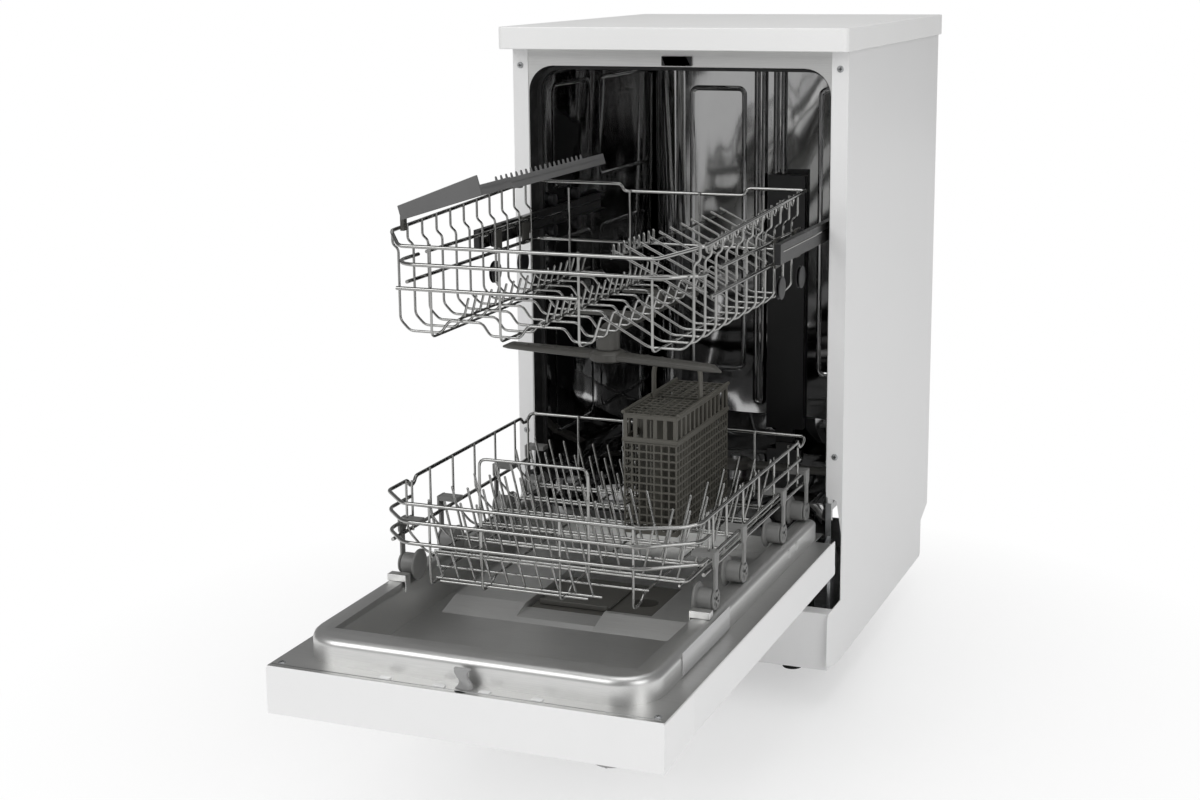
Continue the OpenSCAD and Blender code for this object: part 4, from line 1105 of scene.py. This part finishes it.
class DISHWASHER_OT_panels(bpy.types.Operator):
    """Rounds the worktop, side panels, fascia, door skin and liner, and adds the liner's step and flange"""

    bl_idname = "dishwasher.panels"
    bl_label = "Worktop and door"

    def execute(self, context):
        mould("worktop", "worktop_moulded", "white_laminate", "cabinet", (6, 6, outer_edges("worktop", 0.5)))
        for node in ("side_panel_left", "side_panel_right"):
            mould(node, node + "_folded", "white_enamel", "cabinet", (0.8, 3, outer_edges(node, 1.2)))
        mould("control_fascia", "fascia_moulded", "white_plastic", "door",
              (4.0, 5, outer_edges("control_fascia", 2.6)))
        mould("door_outer_panel", "door_skin", "white_enamel", "door",
              (1.6, 3, outer_edges("door_outer_panel", 0.4)))

        low, high = span("door_liner")
        floor = low.z + 1

        def rim(place, along):
            return place.z > high.z - 1.6 and abs(along.z) < 0.5

        def basin(place, along):
            return place.z < floor + 3 and abs(along.z) < 0.9 and abs(place.x) < 180

        mould("door_liner", "liner_pressed", "liner_steel", "door", (9, 8, rim), (6, 4, basin))

        cup, cup_high = span("dispenser")
        lid_high = span("dispenser_lid")[1]
        step = Shape()
        left, lid, right = cup.x - 2, lid_high.x + 3, cup_high.x + 2
        for x0, x1, rear, rise in (
            (-STEP_X, left, STEP_REAR, STEP_RISE), (left, lid, cup.y - 1, STEP_UNDER_LID),
            (lid, right, cup.y - 1, STEP_RISE), (right, STEP_X, STEP_REAR, STEP_RISE),
        ):
            plan = ((STEP_FRONT, -0.5), (STEP_FRONT + 4 * rise, rise), (rear, rise), (rear, -0.5))
            step.loft([[(x, y, floor + z) for y, z in plan] for x in (x0, x1)])
        add("liner_step", step, "step_steel", "door", even=5)

        fascia, fascia_high = span("control_fascia")
        plate = Shape()
        top = fascia_high.z
        plate.block((fascia.x + 5, fascia.y + 4, top), (fascia_high.x - 5, low.y + 3, top + 0.4))
        add("liner_flange", plate, "stainless", "door", even=0)
        return {"FINISHED"}


class DISHWASHER_OT_spray_arms(bpy.types.Operator):
    """Shapes the two spray arms as tapered wings with raised nozzles"""

    bl_idname = "dishwasher.spray_arms"
    bl_label = "Spray arms"

    def execute(self, context):
        plans = (("upper_spray_arm", 150, -10, (0, -235)), ("lower_spray_arm", 165, 0, (0, 258)))
        nozzle = [(0, 3.2), (0.9, 3.0), (1.3, 2.2), (1.3, 1.1), (0.2, 0.9)]
        for node, reach, turn, (cx, cy) in plans:
            low = span(node)[0]
            foot = low.z if node == "upper_spray_arm" else low.z + 0.5
            arm = Shape()
            rings = []
            for i in range(25):
                t = -1 + i / 12
                wing = 12.8 - 3.2 * abs(t) ** 1.5
                tip = math.sqrt(max(0.0, 1 - max(0.0, (abs(t) * reach - (reach - 10)) / 10) ** 2))
                half = max(0.8, wing * (0.12 + 0.88 * tip))
                crown = 10.6 - 2.6 * abs(t)
                ring = []
                for k in range(16):
                    a = math.tau * k / 16
                    u = math.copysign(abs(math.cos(a)) ** 0.75, math.cos(a))
                    v = math.copysign(abs(math.sin(a)) ** 0.75, math.sin(a))
                    rise = crown / 2 * (1 + v) * (0.3 + 0.7 * tip)
                    ring.append((cx + t * reach, cy + half * u, foot + 0.3 + rise))
                rings.append(ring)
            arm.loft(rings)
            hub = 22 if node == "upper_spray_arm" else 24
            arm.turned((cx, cy, foot), [(0.2, 8.2), (0.2, hub - 2), (2, hub), (9, hub - 1), (12, hub - 5),
                                        (13.2, 14), (13.2, 8.2)], axis="z", steps=40)
            for sign in (-1, 1):
                for i in range(6 if node == "lower_spray_arm" else 5):
                    x = sign * (50 + 20 * i)
                    crown = 10.9 - 2.6 * abs(x) / reach
                    arm.turned((cx + x, cy + 4 * sign, foot + crown - 1), nozzle, axis="z", steps=14)
            arm.turn((cx, cy, 0), turn, "Z")
            add(node + "_blown", arm, "dark_grey_plastic", node, node)
        return {"FINISHED"}


# How far the cup shelf stands open at rest, in degrees
SHELF_TILT = 16


class DISHWASHER_OT_cup_shelf(bpy.types.Operator):
    """Moulds the folding cup shelf with its raised front, comb of pegs and ribs"""

    bl_idname = "dishwasher.cup_shelf"
    bl_label = "Cup shelf"

    def execute(self, context):
        front, rear, wide = -405, -45, 104
        hinge = (-179, 0, 655.5)
        shelf = Shape()

        def slab(x0, x1, y0, y1, z0, z1):
            shelf.block((hinge[0] + x0, y0, hinge[2] + z0), (hinge[0] + x1, y1, hinge[2] + z1))

        slab(0, wide - 22, front, rear, 0, 1.6)
        slab(wide - 23, wide, front, front + 80, 0, 3)
        slab(0, 2, front, rear, -1.5, 3)
        shelf.loft([[(hinge[0] + x, y, hinge[2] + z) for x, z in ((0, -8.5), (wide, -6), (wide, 17), (0, 8))]
                    for y in (front - 3, front + 0.4)])
        slab(wide - 1.6, wide, front, front + 80, -6, 6)
        slab(wide - 1.6, wide, front + 80, rear, -8, 5)
        slab(wide - 24, wide - 22, front + 80, rear, -6, 3)
        slab(wide - 23, wide, front + 80, rear, -1.6, 0)
        slab(0, wide - 22, rear - 2, rear, -3, 3)
        for i in range(18):
            y = front + 10 + 19.5 * i
            slab(2, wide - 24, y, y + 1.4, -2.2, 1.2)
        for x in (30, 56):
            slab(x, x + 1.4, front, rear, -2.2, 1.0)
        shelf.turned((hinge[0], front + 2, hinge[2]), [(0, 2.9), (rear - front - 4, 2.9)], axis="y", steps=14)
        for i in range(19):
            y = front + 90 + 14 * i
            shelf.turned((hinge[0] + wide - 23, y, hinge[2] + 1), [(0, 2.4), (10, 1.5), (11, 0.8)], steps=10)
            shelf.turned((hinge[0] + wide - 26, y + 7, hinge[2] + 2.5), [(0, 2.0), (8.0, 1.1), (8.6, 0.5)],
                         axis="z", steps=10)
        shelf.turn(hinge, -SHELF_TILT, "Y")
        add("cup_shelf_moulded", shelf, "shelf_grey", "cup_shelf", "cup_shelf", edge=0.0004)
        return {"FINISHED"}


# A screw's head: its radius, and how far its cross reaches and how wide it is
SCREW_R = 4.2
CROSS = 2.2
CROSS_HALF = 0.45


class DISHWASHER_OT_fittings(bpy.types.Operator):
    """Adds the screws, the runners' skins, lines and caps, the latch and the liner's dimples"""

    bl_idname = "dishwasher.fittings"
    bl_label = "Fittings"

    def execute(self, context):
        screws, crosses = Shape(), Shape()
        low, high = span("cabinet_screws")
        for sign in (-1, 1):
            for z in (low.z + SCREW_R, high.z - SCREW_R):
                x = sign * (high.x - SCREW_R)
                screws.turned((x, low.y, z), [(0.0, 1.2), (0.15, 2.6), (0.6, 3.7), (1.3, 4.2), (1.7, 4.2)],
                              axis="y", steps=28)
                # Each head's cross is a thin black block laid on the head: painted shade of the cross recess.
                for u, v in ((CROSS, CROSS_HALF), (CROSS_HALF, CROSS)):
                    crosses.block((x - u, low.y - 0.05, z - v), (x + u, low.y + 0.3, z + v))
        add("flange_screws", screws, "zinc_sheet", "cabinet", "cabinet_screws")
        add("screw_crosses", crosses, "black_plastic", "cabinet", even=0)

        low, high = span("door_screws")
        heads, crosses = Shape(), Shape()
        for x in (low.x + SCREW_R, high.x - SCREW_R):
            y = (low.y + high.y) / 2
            heads.turned((x, y, high.z - 1.6), [(0, 4.2), (0.6, 4.1), (1.1, 3.4), (1.5, 2.0), (1.6, 0.9)],
                         axis="z", steps=28)
            # Painted shade of each door screw's cross recess: a thin black block on the head.
            for u, v in ((CROSS, CROSS_HALF), (CROSS_HALF, CROSS)):
                crosses.block((x - u, y - v, high.z - 0.3), (x + u, y + v, high.z + 0.02))
        add("door_screw_heads", heads, "zinc_sheet", "door", "door_screws")
        add("door_screw_crosses", crosses, "black_plastic", "door", even=0)

        for node in ("upper_rail_left", "upper_rail_right"):
            low, high = span(node)
            mould(node, node + "_rolled", "runner_steel", node,
                  (1.0, 3, lambda place, along: abs(along.y) > 0.9))
            line = Shape()
            middle = (low.z + high.z) / 2
            for x in (low.x, high.x):
                line.block((x - 0.04, low.y + 12, middle + 1.5), (x + 0.04, high.y - 4, middle + 3.5))
            add(node + "_line", line, "bright_wire", node, even=0)
            caps = Shape()
            caps.block((low.x + 0.2, low.y, low.z + 0.2), (high.x - 0.2, low.y + 11, high.z - 0.2))
            caps.block((low.x + 1.4, low.y + 11, low.z + 1.4), (high.x - 1.2, low.y + 22, low.z + 5))
            add(node + "_cap", caps, "black_plastic", node, edge=0.0012, even=0)

        low, high = span("door_latch")
        latch = Shape()
        x0, x1, y0, y1 = low.x, high.x, low.y, high.y
        middle, half = (x0 + x1) / 2, (x1 - x0) / 2
        rings = []
        for i in range(13):
            t = i / 12
            waist = 0.58 + 0.4 * abs(2 * t - 1) ** 1.4
            centre = middle + 2.2 * math.sin(math.tau * t)
            left, right = max(x0, centre - half * waist), min(x1, centre + half * waist)
            ridge = centre + half * 0.5 * (1 - 2 * t)
            z = low.z + t * (high.z - low.z)
            plan = ((left, y1), (right, y1), (right, y0 + 2.6), (min(right, ridge + 2.2), y0 + 0.3),
                    (max(left, ridge - 2.2), y0 + 0.1), (left, y0 + 3.2))
            rings.append([(x, y, z) for x, y in plan])
        latch.loft(rings)
        # A thin black ellipse lying on the fascia just in front of the latch: painted shade of the notch
        # there.
        notch = Shape()
        notch.turned((middle, y0 - 4, low.z), [(0.3, 0.5), (0.35, 6)], axis="z", steps=24, squash=0.5)
        add("latch_notch", notch, "black_plastic", "door", even=0)
        add("latch_moulded", latch, "light_grey_plastic", "door", "door_latch", edge=0.0005, even=0)

        liner_high = span("door_liner")[1]
        dimples = Shape()
        profile = ((-0.2, 6.2), (0.35, 5.4), (0.1, 3.6), (-0.2, 2.0))
        for y in (-150, -118):
            for sign in (-1, 1):
                turned = [(sign * a, r) for a, r in profile]
                dimples.turned((sign * 197.5, y, liner_high.z - 12), turned, steps=24)
        add("liner_dimples", dimples, "liner_steel", "door")
        return {"FINISHED"}


class DISHWASHER_OT_mouldings(bpy.types.Operator):
    """Rounds the plain mouldings and folded parts that stay as the CAD drew them"""

    bl_idname = "dishwasher.mouldings"
    bl_label = "Mouldings"

    def execute(self, context):
        plans = (
            ("water_duct", "black_plastic", "cabinet", 1.6),
            ("rack_stops", "stop_grey", "rack_carrier", 1.2),
            ("kick_plate", "white_enamel", "cabinet", 1.4),
            ("program_knob", "light_grey_plastic", "program_knob", 1.2),
            ("dispenser", "dark_grey_plastic", "door", 1.0),
            ("dispenser_lid", "dark_grey_plastic", "dispenser_lid", 1.2),
            ("salt_cap", "white_plastic", "salt_cap", 1.2),
            ("spray_pipe", "dark_grey_plastic", "upper_rack", 1.2),
            ("door_catch", "black_plastic", "cabinet", 1.0),
            ("feet", "black_rubber", "cabinet", 0.8),
        )
        for node, slot, body, width in plans:
            mould(node, node + "_moulded", slot, body, (width, 3, every_edge))
        return {"FINISHED"}


# Stage, light and camera


def stage_floor():
    """A pale floor that keeps the shadow and fades to the white of the background."""
    finish = Finish("floor")
    place = finish.node("ShaderNodeNewGeometry", output="Position")
    flat = finish.node("ShaderNodeVectorMath", {"operation": "MULTIPLY"}, {0: place, 1: (1, 1, 0)})
    away = finish.node("ShaderNodeVectorMath", {"operation": "LENGTH"}, {0: flat}, output="Value")
    fade = finish.ramp(away, 0.25, 0.85, 0.5)
    paper = finish.node("ShaderNodeBsdfDiffuse", {}, {"Color": (0.96, 0.96, 0.96)})
    white = finish.node("ShaderNodeEmission", {}, {"Color": (1, 1, 1), "Strength": 1.0})
    path = finish.node("ShaderNodeLightPath", output="Is Camera Ray")
    mixed = finish.node("ShaderNodeMixShader", {}, {0: fade * path, 1: paper, 2: white})
    finish.node("ShaderNodeOutputMaterial", {}, {"Surface": mixed})
    return finish.material


def softbox(name, place, aim, width, height, power):
    """A large soft lamp that points at aim."""
    data = bpy.data.lights.new(name, "AREA")
    data.shape = "RECTANGLE"
    data.size = width
    data.size_y = height
    data.energy = power
    lamp = bpy.data.objects.new(name, data)
    lamp.location = place
    lamp.rotation_euler = (Vector(aim) - Vector(place)).to_track_quat("-Z", "Y").to_euler()
    bpy.context.scene.collection.objects.link(lamp)


# The camera's yaw, pitch and roll in degrees, and where it stands in metres
CAMERA_TURN = (21.989, 11.325, -0.574)
CAMERA_PLACE = (0.81345, -2.20314, 0.93087)


class DISHWASHER_OT_stage(bpy.types.Operator):
    """Sets up the floor, the soft lamps, the world and the camera"""

    bl_idname = "dishwasher.stage"
    bl_label = "Stage"

    def execute(self, context):
        scene = context.scene
        scene.view_settings.view_transform = "Standard"

        mesh = bpy.data.meshes.new("floor")
        mesh.from_pydata([(-8, -8, 0), (8, -8, 0), (8, 8, 0), (-8, 8, 0)], [], [(0, 1, 2, 3)])
        mesh.materials.append(stage_floor())
        floor = bpy.data.objects.new("floor", mesh)
        scene.collection.objects.link(floor)

        studio = Finish("studio", bpy.data.worlds.new("studio"))
        scene.world = studio.material
        path = studio.node("ShaderNodeLightPath", output="Is Camera Ray")
        glossy = studio.node("ShaderNodeLightPath", output="Is Glossy Ray")
        clear = studio.node("ShaderNodeLightPath", output="Is Transmission Ray")
        seen = path.math("MAXIMUM", clear)
        strength = seen * 0.45 - glossy * 0.37 + 0.55
        light = studio.node("ShaderNodeBackground", {}, {"Color": (1, 1, 1), "Strength": strength})
        studio.node("ShaderNodeOutputWorld", {}, {"Surface": light})

        softbox("key", (-1.6, -2.6, 2.4), (0, -0.1, 0.4), 1.8, 1.8, 32)
        softbox("fill", (2.6, -1.6, 1.7), (0, 0, 0.45), 1.4, 2.0, 20)
        softbox("top", (0.1, -0.2, 2.8), (0, 0, 0.5), 1.8, 1.8, 14)

        camera_data = bpy.data.cameras.new("camera")
        camera_data.lens = 57.345
        camera_data.sensor_width = 36
        camera_data.shift_y = -0.05
        camera_data.clip_start = 0.05
        camera = bpy.data.objects.new("camera", camera_data)
        scene.collection.objects.link(camera)
        yaw, pitch, roll = (math.radians(angle) for angle in CAMERA_TURN)
        forward = Vector(
            (-math.sin(yaw) * math.cos(pitch), math.cos(yaw) * math.cos(pitch), -math.sin(pitch))
        )
        right = Vector((math.cos(yaw), math.sin(yaw), 0))
        up = right.cross(forward)
        x_axis = math.cos(roll) * right + math.sin(roll) * up
        y_axis = -math.sin(roll) * right + math.cos(roll) * up
        rows = zip(x_axis, y_axis, -forward, CAMERA_PLACE)
        camera.matrix_world = Matrix([*rows, (0, 0, 0, 1)])
        scene.camera = camera
        return {"FINISHED"}


OPERATORS = [
    DISHWASHER_OT_kept_nodes,
    DISHWASHER_OT_panels,
    DISHWASHER_OT_tub,
    DISHWASHER_OT_mouldings,
    DISHWASHER_OT_fittings,
    DISHWASHER_OT_lower_rack,
    DISHWASHER_OT_tines,
    DISHWASHER_OT_wheels,
    DISHWASHER_OT_basket,
    DISHWASHER_OT_upper_rack,
    DISHWASHER_OT_carriers,
    DISHWASHER_OT_cup_shelf,
    DISHWASHER_OT_spray_arms,
    DISHWASHER_OT_stage,
]


class DISHWASHER_PT_panel(bpy.types.Panel):
    """Lists the dishwasher's pieces, sizes and colours"""

    bl_idname = "DISHWASHER_PT_panel"
    bl_label = "Dishwasher"
    bl_space_type = "VIEW_3D"
    bl_region_type = "UI"
    bl_category = "Dishwasher"

    def draw(self, context):
        layout = self.layout
        for group in (context.scene.dishwasher_sizes, context.scene.dishwasher_colours):
            for key in group.__annotations__:
                layout.prop(group, key)
        for operator in OPERATORS:
            layout.operator(operator.bl_idname)


CLASSES = [DishwasherColours, DishwasherSizes, *OPERATORS, DISHWASHER_PT_panel]


def register():
    for cls in CLASSES:
        bpy.utils.register_class(cls)
    bpy.types.Scene.dishwasher_colours = bpy.props.PointerProperty(type=DishwasherColours)
    bpy.types.Scene.dishwasher_sizes = bpy.props.PointerProperty(type=DishwasherSizes)


def unregister():
    del bpy.types.Scene.dishwasher_sizes
    del bpy.types.Scene.dishwasher_colours
    for cls in reversed(CLASSES):
        bpy.utils.unregister_class(cls)


def main():
    register()
    for operator in OPERATORS:
        group, name = operator.bl_idname.split(".")
        getattr(getattr(bpy.ops, group), name)()


if __name__ == "__main__":
    main()
